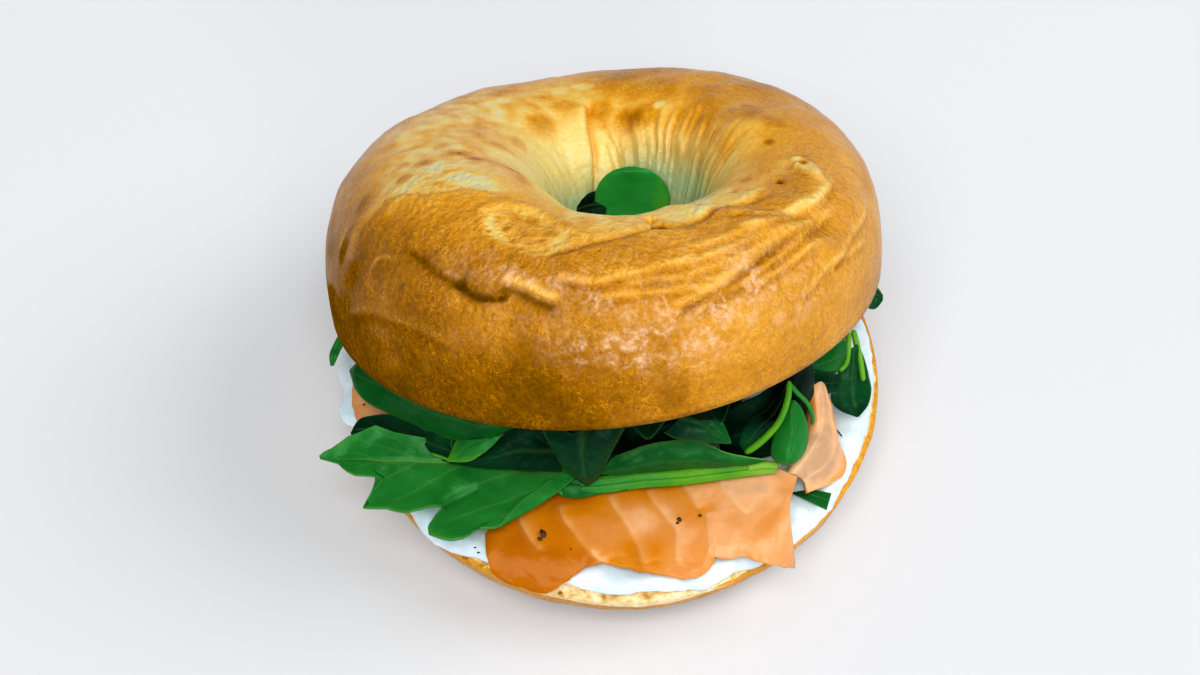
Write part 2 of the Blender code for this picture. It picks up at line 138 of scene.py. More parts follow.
def nearTurn(turn, angle, wide):
    # 1 at an angle, fading over some radians to either side
    return hump(turnBetween(turn, math.radians(angle)), wide)


def between(value, low, high):
    # 0 below low, 1 above high, smooth between them
    share = np.clip((np.asarray(value, float) - low) / (high - low), 0.0, 1.0)
    return share * share * (3 - 2 * share)


def towards(turn, angle, low, high):
    # the same for the cosine of the turn from an angle
    return between(np.cos(turn - math.radians(angle)), low, high)


def readTable(table, value):
    return np.interp(value, [row[0] for row in table], [row[1] for row in table])


def pathPoint(points, share):
    # the point at this share of the way along a smooth curve through the points
    spans = len(points) - 1
    place = min(max(share, 0.0), 1.0) * spans
    i = min(int(place), spans - 1)
    t = place - i
    a, b = points[i], points[i + 1]
    before = points[i - 1] if i > 0 else 2 * a - b
    after = points[i + 2] if i + 2 <= spans else 2 * b - a
    bend = 2 * before - 5 * a + 4 * b - after
    return 0.5 * (2 * a + (b - before) * t + bend * t**2 + (3 * a - before - 3 * b + after) * t**3)


# ---- tools for finishes ----


def tint(red, green, blue):
    # a colour as a picture shows it, 0 to 255, as Blender's linear one
    def linear(value):
        value /= 255
        return value / 12.92 if value <= 0.04045 else ((value + 0.055) / 1.055) ** 2.4

    return (linear(red), linear(green), linear(blue), 1.0)


def newFinish(name):
    finish = bpy.data.materials.new(name)
    finish.use_nodes = True
    tree = finish.node_tree
    return finish, tree, tree.nodes["Principled BSDF"], addNode(tree, "ShaderNodeTexCoord").outputs["Object"]


def setInputs(tree, made, inputs):
    # each value is a number, a colour or the socket that feeds the input
    for socket, value in inputs.items():
        if isinstance(value, bpy.types.NodeSocket):
            tree.links.new(value, made.inputs[socket])
        else:
            made.inputs[socket].default_value = value


def addNode(tree, kind, inputs=None, **settings):
    made = tree.nodes.new(kind)
    for setting, value in settings.items():
        setattr(made, setting, value)
    setInputs(tree, made, inputs or {})
    return made


def addRamp(tree, value, stops):
    made = addNode(tree, "ShaderNodeValToRGB", {"Fac": value})
    ramp = made.color_ramp
    while len(ramp.elements) < len(stops):
        ramp.elements.new(0.5)
    for element, (place, paint) in zip(ramp.elements, stops):
        element.position = place
        element.color = paint
    return made.outputs["Color"]


def addFade(tree, value, low, high, start=0.0, end=1.0):
    # start below low and end above high
    return addRamp(tree, value, [(low, (start, start, start, 1)), (high, (end, end, end, 1))])


def addMath(tree, operation, *values, clamp=False):
    made = addNode(tree, "ShaderNodeMath", dict(enumerate(values)), operation=operation, use_clamp=clamp)
    return made.outputs[0]


def times(tree, total, *others):
    for other in others:
        total = addMath(tree, "MULTIPLY", total, other)
    return total


def plus(tree, total, *others):
    for other in others:
        total = addMath(tree, "ADD", total, other)
    return total


def spread(tree, value, amount):
    # a noise's value about its middle
    return times(tree, addMath(tree, "SUBTRACT", value, 0.5), amount)


def addMix(tree, share, a, b):
    return addNode(tree, "ShaderNodeMix", {"Factor": share, 6: a, 7: b}, data_type="RGBA").outputs[2]


def addNoise(tree, place, scale, detail=3.0, roughness=0.5, distortion=0.0):
    values = {"Vector": place, "Scale": scale, "Detail": detail, "Roughness": roughness,
              "Distortion": distortion}
    return addNode(tree, "ShaderNodeTexNoise", values).outputs["Fac"]


def addBump(tree, height, strength, distance):
    values = {"Height": height, "Strength": strength, "Distance": distance}
    return addNode(tree, "ShaderNodeBump", values).outputs["Normal"]


def readValue(tree, name):
    return addNode(tree, "ShaderNodeAttribute", attribute_name=name).outputs["Fac"]


def bleed(weight, radius):
    # how light spreads inside the piece
    return {"Subsurface Weight": weight, "Subsurface Radius": radius, "Subsurface Scale": 0.5}


# ---- camera ----

cameraView = {"aim": (-3.0, -3.4, 30.0), "elevation": 55.5, "distance": 450.0, "lens": 67.5, "film": 36.0}

elevation = math.radians(cameraView["elevation"])
cameraBack = Vector((0.0, -math.cos(elevation), math.sin(elevation))) * cameraView["distance"]
bpy.ops.object.camera_add(location=(Vector(cameraView["aim"]) + bagelAxis + cameraBack) * mm,
                          rotation=(math.pi / 2 - elevation, 0.0, 0.0))
camera = bpy.context.active_object
camera.data.lens = cameraView["lens"]
camera.data.sensor_width = cameraView["film"]
camera.data.clip_start = 0.01
bpy.context.scene.camera = camera

# ---- finishes ----

# colours run from pale to browned; patches, mottle and grain are noise scales with their strengths
crustLook = {
    "stops": [(0.00, tint(228, 221, 168)), (0.14, tint(243, 214, 124)), (0.28, tint(240, 190, 86)),
              (0.42, tint(228, 162, 40)), (0.56, tint(204, 139, 14)), (0.70, tint(168, 111, 4)),
              (0.85, tint(126, 85, 3)), (1.00, tint(98, 64, 2))],
    # the hole's colours deeper in: painted shade and green light thrown from the leaves
    "inHole": [(0.25, tint(228, 218, 150)), (0.5, tint(182, 178, 114)), (0.9, tint(160, 184, 140))],
    "crumb": [(0.0, tint(178, 124, 58)), (0.3, tint(230, 192, 122)), (0.6, tint(250, 236, 196)),
              (1.0, tint(255, 252, 238))],
    "patches": (70.0, 0.12), "mottle": (330.0, 0.20), "grain": (1300.0, 0.26), "curls": (760.0, 0.24),
    "roughness": 0.27, "crumbRoughness": 0.4, "gloss": 0.55, "glossTint": tint(255, 226, 204),
    "glint": tint(246, 200, 164), "bump": 0.9, "bumpHeight": 0.0007,
}


def makeCrust(name):
    # "bake" browns the crust and carries painted shade low by the rim and in creases and painted
    # light on the right side and on raised edges; "skin" roughens it and "sheen" paints glints on it;
    # "crumb" is 1 on the cut face, "pore" darkens its holes with painted shade and "deep" paints shade
    # and green light from the leaves into the lid's hole
    look = crustLook
    finish, tree, shader, place = newFinish(name)
    patches = addNoise(tree, place, look["patches"][0], 2.0)
    mottle = addNoise(tree, place, look["mottle"][0], 4.0, 0.6, 0.6)
    grain = addNoise(tree, place, look["grain"][0], 3.0, 0.6)
    baked = readValue(tree, "bake")
    brown = plus(tree, baked, spread(tree, patches, look["patches"][1]),
                 spread(tree, mottle, look["mottle"][1]), spread(tree, grain, look["grain"][1]))
    # fine pale curls, where the skin has cracked and flaked, which also stand in for painted highlights on
    # the crackle
    scale, strength = look["curls"]
    worm = addMath(tree, "SUBTRACT", addNoise(tree, place, scale, 3.0, 0.6, 0.9), 0.5)
    where = addFade(tree, addNoise(tree, place, 190.0, 3.0, 0.6), 0.40, 0.62)
    thin = addFade(tree, addMath(tree, "ABSOLUTE", worm), 0.0, 0.05, 1.0, 0.0)
    curls = times(tree, thin, where, addFade(tree, baked, 0.30, 0.60))
    crust = addRamp(tree, plus(tree, brown, times(tree, curls, -strength)), look["stops"])
    # painted glints: a pale colour mixed in where the blistered skin would catch the light
    specks = addFade(tree, addNoise(tree, place, 720.0, 4.0, 0.7), 0.42, 0.62, 0.2)
    groups = addFade(tree, addNoise(tree, place, 260.0, 3.0, 0.6, 0.8), 0.42, 0.58, 0.1)
    shine = times(tree, specks, groups, readValue(tree, "sheen"), addFade(tree, baked, 0.70, 0.86, 1.0, 0.0))
    crust = addMix(tree, shine, crust, look["glint"])
    # painted shade and green light from the leaves, deep in the lid's hole
    deep = readValue(tree, "deep")
    crust = addMix(tree, deep, crust, addRamp(tree, deep, look["inHole"]))
    onCrumb = readValue(tree, "crumb")
    # the crumb's pits are darkened with painted shade
    pores = plus(tree, addNoise(tree, place, 620.0, 4.0, 0.65), times(tree, readValue(tree, "pore"), -0.5))
    edge = plus(tree, onCrumb, spread(tree, addNoise(tree, place, 500.0, 2.0), 0.8))
    paint = addMix(tree, addFade(tree, edge, 0.42, 0.58), crust, addRamp(tree, pores, look["crumb"]))
    blisters = addNode(tree, "ShaderNodeTexVoronoi", {"Vector": place, "Scale": 700.0}, feature="SMOOTH_F1")
    rise = plus(tree, times(tree, blisters.outputs["Distance"], -0.9), times(tree, grain, 0.9),
                times(tree, mottle, 0.8), times(tree, curls, 0.12))
    rise = times(tree, rise, readValue(tree, "skin"))
    setInputs(tree, shader, {
        "Base Color": paint, "Specular Tint": look["glossTint"],
        "Roughness": addMath(tree, "MULTIPLY_ADD", onCrumb, look["crumbRoughness"], look["roughness"]),
        # the lower crust is duller
        "Specular IOR Level": addFade(tree, baked, 0.45, 0.78, look["gloss"], 0.0),
        "Normal": addBump(tree, rise, look["bump"], look["bumpHeight"])})
    return finish


cheeseLook = {"stops": [(0.3, tint(212, 236, 250)), (0.6, tint(232, 247, 255)), (0.85, tint(246, 250, 250))],
              "roughness": 0.32, "bump": 0.25, "bumpHeight": 0.0004}


def makeCheese(name):
    look = cheeseLook
    finish, tree, shader, place = newFinish(name)
    smear = addNoise(tree, place, 160.0, 3.0, 0.5, 0.6)
    setInputs(tree, shader, {
        "Base Color": addRamp(tree, smear, look["stops"]), "Roughness": look["roughness"],
        **bleed(0.25, (0.004, 0.003, 0.002)),
        "Normal": addBump(tree, addNoise(tree, place, 700.0), look["bump"], look["bumpHeight"])})
    return finish


salmonLook = {
    "stops": [(0.0, tint(184, 106, 1)), (0.3, tint(208, 129, 14)), (0.6, tint(220, 148, 80)),
              (0.85, tint(236, 180, 132)), (1.0, tint(196, 157, 124))],
    "fat": tint(246, 206, 150), "cloud": 0.7, "roughness": 0.21, "gloss": (0.16, 0.34),
    "glossTint": tint(255, 224, 196), "bump": 0.35, "bumpHeight": 0.0005,
}


def makeSalmon(name):
    # "flesh" runs from deep orange, 0, to pale pink orange, 1; "fat" is the pale lines
    look = salmonLook
    finish, tree, shader, place = newFinish(name)
    ripe, fatty = readValue(tree, "flesh"), readValue(tree, "fat")
    tone = plus(tree, ripe, spread(tree, addNoise(tree, place, 110.0, 3.0, 0.5, 0.5), look["cloud"]))
    worn = plus(tree, addNoise(tree, place, 300.0, 2.0), 0.25)
    fat = addMath(tree, "MULTIPLY", fatty, worn, clamp=True)
    rise = plus(tree, addNoise(tree, place, 420.0), fatty)
    setInputs(tree, shader, {
        "Base Color": addMix(tree, fat, addRamp(tree, tone, look["stops"]), look["fat"]),
        "Roughness": look["roughness"], "Specular Tint": look["glossTint"],
        # the deep orange reflects less
        "Specular IOR Level": addFade(tree, ripe, 0.1, 0.5, *look["gloss"]),
        **bleed(0.06, (0.003, 0.0016, 0.0006)),
        "Normal": addBump(tree, rise, look["bump"], look["bumpHeight"])})
    return finish


greenLook = {
    # the darkest stops are painted shade for leaves deep under the lid
    "stops": [(0.0, tint(1, 9, 5)), (0.2, tint(3, 58, 34)), (0.45, tint(14, 97, 34)),
              (0.7, tint(40, 134, 54)), (0.85, tint(92, 160, 26)), (1.0, tint(140, 184, 66))],
    "vein": tint(116, 172, 76), "cloud": 0.34, "roughness": 0.34, "gloss": 0.32,
    "glossTint": tint(170, 230, 180), "bump": 0.35, "bumpHeight": 0.0005,
}


def makeGreen(name):
    # "tone" picks the leaf's green, dark to light, its darkest values painted shade for leaves deep under the
    # lid; "vein" is 1 on the midrib and the side veins
    look = greenLook
    finish, tree, shader, place = newFinish(name)
    green, vein = readValue(tree, "tone"), readValue(tree, "vein")
    tone = plus(tree, green, spread(tree, addNoise(tree, place, 130.0, 3.0, 0.5, 0.3), look["cloud"]))
    rise = plus(tree, times(tree, addNoise(tree, place, 900.0, 2.0), 0.5), times(tree, vein, -0.6))
    setInputs(tree, shader, {
        "Base Color": addMix(tree, vein, addRamp(tree, tone, look["stops"]), look["vein"]),
        "Roughness": look["roughness"], "Specular Tint": look["glossTint"],
        # deep in the gap the leaves stay dull
        "Specular IOR Level": addFade(tree, green, 0.0, 0.25, 0.0, look["gloss"]),
        **bleed(0.12, (0.001, 0.003, 0.0008)),
        "Normal": addBump(tree, rise, look["bump"], look["bumpHeight"])})
    return finish


speckLook = {"stops": [(0.3, tint(30, 24, 12)), (0.7, tint(84, 58, 22))], "roughness": 0.6}


def makeSpeck(name):
    finish, tree, shader, place = newFinish(name)
    setInputs(tree, shader, {"Base Color": addRamp(tree, addNoise(tree, place, 900.0), speckLook["stops"]),
                             "Roughness": speckLook["roughness"]})
    return finish


crustFinish = makeCrust("crust")
cheeseFinish = makeCheese("softCheese")
salmonFinish = makeSalmon("smokedSalmon")
greenFinish = makeGreen("rocketGreen")
speckFinish = makeSpeck("herbSpeck")
print("finishes made")


def finishPiece(piece, finish, slot, *nodes):
    selectOnly(piece)
    bpy.ops.object.shade_smooth()
    piece.data.materials.clear()
    piece.data.materials.append(finish)
    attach(piece, "root")
    if nodes:
        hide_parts(*nodes)
    print(piece.name, len(piece.data.polygons), "faces")


# ---- upper half of the bagel ----

lidShape = {
    "radius": 54.8, "height": 28.1, "crest": 0.47, "hole": 12.5, "holeShift": (5.2, 1.2),
    "centre": (-1.9, 2.0, 44.0), "tilt": -24.1, "roll": -4.0,
    "turnSteps": 512, "archSteps": 140, "faceSteps": 28, "frontDetail": 0.40, "sideDetail": 0.30,
    # layers of lumps, of browning and of crumb pits: strength, size and seed
    "lumps": [(0.36, 9.0, 1), (0.15, 3.6, 2), (0.06, 1.5, 3)], "browning": [(0.08, 15.0, 4), (0.07, 6.0, 5)],
    "pits": [(1.0, 2.4, 6), (0.6, 1.1, 7)],
}
lidTurn = Matrix.Rotation(math.radians(lidShape["tilt"]), 3, "X") @ Matrix.Rotation(
    math.radians(lidShape["roll"]), 3, "Y")

# how far the crust is baked, 0 pale to 1 brown, from the rim, 0, over the crest to the hole, 1; the darkness
# low by the rim is partly painted shade where the crust faces down
lidBakeAndShading = [
    (0, 0.91), (0.05, 0.88), (0.12, 0.82), (0.22, 0.73), (0.32, 0.65), (0.42, 0.56), (0.5, 0.45),
    (0.56, 0.36), (0.63, 0.24), (0.72, 0.12), (0.84, 0.06), (1, 0.06),
]
# sides made paler towards the rim: change, direction, and the cosines and places that it fades over; on the
# right side, rows two and three, this is painted light from the right
lidSides = [(-0.05, 200, 0.2, 1.0, -0.36, -0.10), (-0.21, -36, 0.25, 0.9, -0.50, -0.30),
            (-0.12, -25, 0.45, 0.85, -0.26, -0.10)]
# bands baked more or less: change, direction, the cosines that it fades over, place around the section, width
lidBands = [(0.04, 200, 0.2, 1.0, 0.27, 0.08), (-0.15, 160, 0.2, 0.9, 0.46, 0.11)]
# swells of the dough: height in mm, direction, width in radians, place around the section, how far it fades
lidSwells = [(-0.9, 100, 0.06, 0.86, 0.20), (1.3, 24, 0.30, 0.62, 0.13)]
# patches baked more or less: change, and then as for the swells
lidPatches = [(-0.12, -136, 0.34, 0.41, 0.12), (0.05, -80, 0.26, 0.20, 0.16), (-0.09, -107, 0.18, 0.19, 0.10)]

# folds and creases of the dough: a path of turn and share around, the crease's width and depth, how high the
# dough stands on its left (or, below 0, on its right), how dark the crease is with painted shade and how pale
# the raised edge is with a painted highlight
lidStrokes = [
    ([(-103, 0.307), (-97, 0.305), (-91, 0.302), (-87, 0.315), (-80.7, 0.323), (-75, 0.335), (-68, 0.338),
     (-60.6, 0.343), (-53.4, 0.345), (-46.5, 0.335), (-36, 0.33)], 0.9, 0.55, 0.75, 0.1, 0.16),
    ([(-87, 0.295), (-79.5, 0.303), (-73, 0.3), (-64, 0.312), (-58.5, 0.312), (-50.7, 0.318), (-42, 0.322)],
     0.8, 0.4, 0.5, 0.1, 0.1),
    ([(-76, 0.218), (-72.3, 0.233), (-69, 0.242), (-65.7, 0.25), (-61.2, 0.268), (-57.6, 0.283),
     (-52.5, 0.295), (-46.8, 0.305), (-41, 0.307), (-32, 0.305), (-24, 0.31)], 1.1, 1.15, 1, 0.2, 0.14),
    ([(-73, 0.198), (-68.4, 0.217), (-63.6, 0.238), (-57.6, 0.247), (-51.9, 0.265), (-45.3, 0.275),
     (-39, 0.285), (-29.4, 0.288), (-20, 0.282)], 0.9, 0.65, 0.75, 0.12, 0.14),
    ([(-58, 0.395), (-47.4, 0.367), (-39.9, 0.36), (-30.9, 0.345), (-21.9, 0.333), (-12, 0.333)], 0.9, 0.55,
     0.75, 0.1, 0.16),
    ([(-54, 0.45), (-48.9, 0.43), (-44.1, 0.395), (-36, 0.372), (-27, 0.362)], 0.8, 0.4, 0.5, 0.08, 0.14),
    ([(-70, 0.372), (-62, 0.378), (-54, 0.37), (-46, 0.352)], 0.8, 0.4, 0.45, 0.08, 0.12),
    ([(-92, 0.268), (-84, 0.272), (-76, 0.27), (-68, 0.262)], 0.8, 0.35, 0.4, 0.08, 0.12),
    ([(-60, 0.222), (-52, 0.236), (-43, 0.246), (-34, 0.25)], 0.8, 0.45, 0.5, 0.08, 0.12),
    ([(-34, 0.166), (-30.6, 0.173), (-22.2, 0.188), (-15.3, 0.182), (-8, 0.2)], 0.9, 0.45, 0.5, 0.08, 0.1),
    ([(-46, 0.15), (-41.4, 0.158), (-34.8, 0.173), (-27, 0.158), (-16, 0.133)], 0.9, 0.45, 0.4, 0.08, 0.1),
    ([(-104.4, 0.367), (-99.6, 0.388), (-94.8, 0.422), (-89.1, 0.443), (-82.8, 0.458), (-77.4, 0.473),
     (-69, 0.468), (-60.9, 0.475), (-53.7, 0.492), (-45.3, 0.487), (-37.8, 0.465), (-30, 0.453)], 0.8, 0.75,
     -0.8, 0.12, 0),
    ([(-150.3, 0.215), (-151.8, 0.245), (-152.1, 0.27), (-150.9, 0.302), (-150.9, 0.325), (-151.5, 0.35),
     (-147.9, 0.39), (-144.9, 0.41), (-141.6, 0.427), (-139.2, 0.455), (-136.8, 0.48), (-131, 0.5),
     (-123, 0.52)], 1.1, 0.45, -1.2, 0.02, 0),
    ([(-137, 0.29), (-130, 0.28), (-126, 0.268), (-121.5, 0.262), (-118, 0.25)], 0.9, 0.5, -0.5, 0.1, 0),
    ([(-112, 0.284), (-108, 0.279), (-105, 0.272), (-102, 0.26), (-98, 0.25)], 1.2, 0.65, 0.8, 0.14, 0.3),
    ([(102, 0.585), (102.6, 0.615), (104.1, 0.65), (106.2, 0.693), (107.7, 0.74), (109.8, 0.79),
     (114.6, 0.853), (118.2, 0.9), (121, 0.94)], 0.9, 1.5, -1, 0.2, 0.05),
    ([(-150, 0.07), (-140, 0.12), (-128, 0.13), (-118, 0.12)], 1.2, 0.3, 0.3, 0.05, 0.05),
    ([(-79, 0.502), (-77.5, 0.515), (-76.5, 0.54)], 0.8, 1.2, 0.2, 0.1, 0),
]
strokeGain = {"relief": 1.45, "bake": 1.6}
# pale streaks of the dough, or brown ones below 0: path, width and paleness
lidStreaks = [
    ([(-147, 0.42), (-152, 0.392), (-155.5, 0.366), (-156, 0.338), (-155, 0.315), (-157, 0.28)], 2.8, 0.12),
    ([(-163, 0.215), (-157, 0.232), (-154.5, 0.215), (-153, 0.18)], 2.6, 0.1),
    ([(-17.4, 0.372), (-25.2, 0.352), (-33.3, 0.372), (-40, 0.395)], 1.3, 0.16),
    ([(-8.7, 0.49), (-23.7, 0.5), (-36, 0.53)], 1.5, 0.14),
    ([(-136.5, 0.262), (-141, 0.248), (-143.4, 0.226), (-143.6, 0.19), (-142.4, 0.155)], 0.4, 0.16),
    ([(150, 0.6), (140, 0.52), (128, 0.5)], 3, 0.12),
    ([(-160, 0.44), (-164, 0.5), (-160, 0.57), (-153, 0.635), (-139.5, 0.655), (-124, 0.6)], 1.9, -0.32),
    ([(176, 0.57), (166, 0.6), (160, 0.66), (156, 0.72)], 2, -0.12),
]
# browned spots in the lid's plan: x, y, radius, browning
lidSpots = [
    (-35.6, -9.8, 1.3, 0.16), (-31, -11.6, 1.7, 0.19), (-35, -16.2, 1.4, 0.19), (-27.6, -20.5, 1.1, 0.17),
    (-22.8, -11, 1.9, 0.2), (-27.7, -4.7, 2.2, 0.12), (-14.6, -10.7, 1.7, 0.19), (-11.1, 17.7, 2.9, 0.13),
    (-22.2, -17, 0.6, 0.14), (-33, -4, 5, 0.09), (-24, -1, 5, 0.1), (-18, 3, 4, 0.1), (21.8, 19, 3.6, 0.17),
    (23.4, 16.2, 2.6, 0.11), (28.7, 13.3, 3.4, 0.17), (31.2, 10.6, 2.3, 0.13), (33, 1.5, 1, 0.3),
    (34.2, 7.7, 2.1, 0.16), (9.8, 22.8, 2.5, 0.24), (6.4, 22.2, 2.6, 0.24), (0.8, 25.3, 2.2, 0.26),
    (0.6, 22.4, 1.6, 0.16), (4.2, 31.5, 4.7, 0.1), (-6.3, 24.7, 2.5, 0.18), (-10.8, 18.7, 2.5, 0.15),
    (12.5, 29, 3.9, 0.1), (22.2, 24.6, 4.4, 0.1), (25.3, -16.8, 0.9, 0.22), (27.7, -12, 1.1, 0.19),
    (33.9, -14.3, 0.6, 0.5), (-0.8, -38.2, 0.6, 0.29), (11.7, -32.6, 0.9, 0.75), (10.4, -33.1, 0.6, 0.5),
    (38.7, -7.3, 0.8, 0.62), (-17.1, -32.1, 0.8, 0.19), (-14.1, -31.9, 0.9, 0.2), (-11.2, -33, 1.3, 0.22),
    (-15.8, -34.8, 0.8, 0.22), (-7.5, -36.3, 1.2, 0.17), (-18.7, -35.5, 0.4, 0.29), (-14.7, -37.7, 0.4, 0.29),
    (-9.2, -38, 0.4, 0.29), (-12.4, -36.4, 0.7, 0.16), (-5, -34.5, 1.1, 0.14), (-42, -16, 2.4, 0.12),
    (-34.8, -15.7, 1.6, 0.16), (-33.3, -11.4, 1.4, 0.18), (-26.4, -11.6, 1.8, 0.18), (-24.1, -7, 1.5, 0.18),
    (-17.6, 1, 2, 0.2), (-15.4, 8.3, 2, 0.18), (-11.3, 28.2, 2.6, 0.18), (-15.6, 34.6, 3, 0.14),
    (-19.4, 28.1, 3, 0.14), (-46.5, -19.5, 1.8, 0.13), (7.4, 27.4, 1.6, 0.11), (17.2, 20.6, 1.8, 0.11),
    (14.6, 25.8, 2.1, 0.1),
]
# pits: x, y, radius and depth
lidPits = [
    (11.7, -32.6, 0.9, 1.4), (38.7, -7.3, 0.7, 1), (33.9, -14.3, 0.7, 0.7), (-0.8, -38.2, 0.5, 0.4),
    (-14.7, -37.7, 0.4, 0.3), (-9.2, -38, 0.4, 0.3), (-18.7, -35.5, 0.4, 0.3), (25.3, -16.8, 0.8, 0.3),
]
# pale places: x, y, half length, half width, how the length is turned, paleness and rise
lidPale = [
    (39.3, -8.8, 4.4, 2, -57, 0.34, 0.7), (-22, -20.4, 5.6, 2.4, -30, 0.2, 0),
    (12.4, 23.9, 1.4, 0.9, 0, 0.26, 0.2), (-2.8, 32.4, 2.6, 1.6, 0, 0.24, 0),
    (28.6, -18.6, 3.2, 1, 40, 0.2, 0.3), (20.2, -24.8, 3.6, 1.1, 52, 0.22, 0.3),
    (-9.5, 30, 4.5, 2, 20, 0.18, 0), (-36, -24, 2, 1.2, 30, 0.1, 0),
]
# the blistered oval on the front and the mouth of the crack beside it
lidPatch = {"centre": (-12, -35.2), "length": 8.8, "width": 5.7, "angle": -36, "paleness": 0.2}
lidCrack = {
    "path": [(-121.6, 0.262), (-119.4, 0.254), (-117, 0.243), (-114.6, 0.24), (-111, 0.248), (-108, 0.262)],
    "depth": 0.7, "reach": 1.6, "lip": 0.3, "lipReach": 1.2,
}
# the pale ledge between the front roll and the hole: where it starts around the section
lidLedge = [(-104, 0.37), (-95, 0.42), (-89, 0.443), (-77, 0.473), (-61, 0.475), (-54, 0.492), (-38, 0.465),
            (-30, 0.453)]
# where the front roll ends on the left
lidRollEnd = [(0.20, -152), (0.30, -151), (0.40, -146), (0.46, -138), (0.52, -124)]
# where glints are painted on the skin: turn and place around the section, how far each spreads, and how
# strong
lidGlints = [
    (-74, 0.165, 11, 0.055, 1.3), (-91, 0.155, 7, 0.035, 1.1), (-60, 0.25, 12, 0.07, 0.5),
    (-86, 0.27, 9, 0.03, 0.45), (-108, 0.3, 16, 0.05, 0.3), (-48, 0.14, 8, 0.05, 0.35),
]


def lidSmooth(turn, around):
    # the crust before its creases, in the lid's own frame, and the way it faces
    swell = 1 - 0.003 * np.cos(2 * turn) + 0.019 * np.sin(2 * turn) + 0.008 * np.sin(3 * turn)
    rim = lidShape["radius"] * swell
    crest = lidShape["height"] - 2.7 * np.cos(turn) - 1.7 * np.sin(turn)
    crest = crest + 0.7 * np.cos(2 * turn) + 1.4 * np.sin(2 * turn)
    hole = lidShape["hole"] * (1 + 0.05 * np.cos(3 * turn))
    side = np.cos(np.pi * around)
    lift = np.clip(np.sin(np.pi * around), 0.0, 1.0)
    out = lidShape["crest"]
    share = np.where(side > 0, out + (1 - out) * (np.abs(side) ** 0.80 - 0.035 * (1 - lift) ** 3),
                     out * (1 - np.abs(side) ** 0.92) - 0.03 * (1 - lift) ** 4)
    # at the front the hole's wall falls away steeply behind the crest
    share = share + 0.085 * nearTurn(turn, -97, 0.52) * hump(around - 0.67, 0.13)
    shiftX, shiftY = lidShape["holeShift"]
    rimX, rimY = rim * np.cos(turn), rim * np.sin(turn)
    holeX, holeY = shiftX + hole * np.cos(turn), shiftY + hole * np.sin(turn)
    rise = lift ** 0.86
    points = np.stack([holeX + (rimX - holeX) * share, holeY + (rimY - holeY) * share, crest * rise], axis=-1)
    length = np.hypot(rimX - holeX, rimY - holeY)
    facing = np.stack([(rimX - holeX) / length * side, (rimY - holeY) / length * side, 0.25 + rise], axis=-1)
    return points, facing / np.linalg.norm(facing, axis=-1, keepdims=True)


def nearPath(points, path, reach, samples=120):
    # which points lie near a path on the crust, how far off it, how far to its left, and 1 away from its ends
    corners = [Vector((math.radians(turn), around, 0.0)) for turn, around in path]
    places = [pathPoint(corners, k / (samples - 1)) for k in range(samples)]
    line, facing = lidSmooth(np.array([p.x for p in places]), np.array([p.y for p in places]))
    near = np.nonzero(((points > line.min(0) - reach) & (points < line.max(0) + reach)).all(axis=1))[0]
    aside = points[near][:, None, :] - line[None, :, :]
    nearest = (aside ** 2).sum(axis=2).argmin(axis=1)
    leftward = np.cross(facing, np.gradient(line, axis=0))
    leftward /= np.linalg.norm(leftward, axis=1, keepdims=True)
    offset = aside[np.arange(len(near)), nearest]
    along = nearest / (samples - 1)
    inside = between(along, 0.0, 0.12) * (1 - between(along, 0.86, 1.0)) * ((along > 0) & (along < 1))
    return near, np.linalg.norm(offset, axis=1), (offset * leftward[nearest]).sum(axis=1), inside


def ovalDistance(points, centre, longHalf, shortHalf, angle):
    # 1 on the oval's edge, and the share of the half width to its left
    lean = math.radians(angle)
    x, y = points[:, 0] - centre[0], points[:, 1] - centre[1]
    along = (x * math.cos(lean) + y * math.sin(lean)) / longHalf
    off = (y * math.cos(lean) - x * math.sin(lean)) / shortHalf
    return np.hypot(along, off), off


def innerCreases():
    # creases down the hole's wall: turn, where each starts and ends around the section, depth, width and lean
    draw = random.Random(11)
    creases = []
    angle = 4.0
    while angle < 98:
        low = draw.uniform(0.55, 0.68)
        creases.append((angle, low, low + draw.uniform(0.12, 0.34), draw.uniform(0.12, 0.55),
                        draw.uniform(0.018, 0.045), draw.uniform(0.15, 0.55)))
        angle += draw.uniform(2.2, 6.4)
    for k in range(5):
        creases.append((124 + 9 * k + draw.uniform(-2, 2), 0.70, 0.88, draw.uniform(0.08, 0.2), 0.04, 0.3))
    return creases


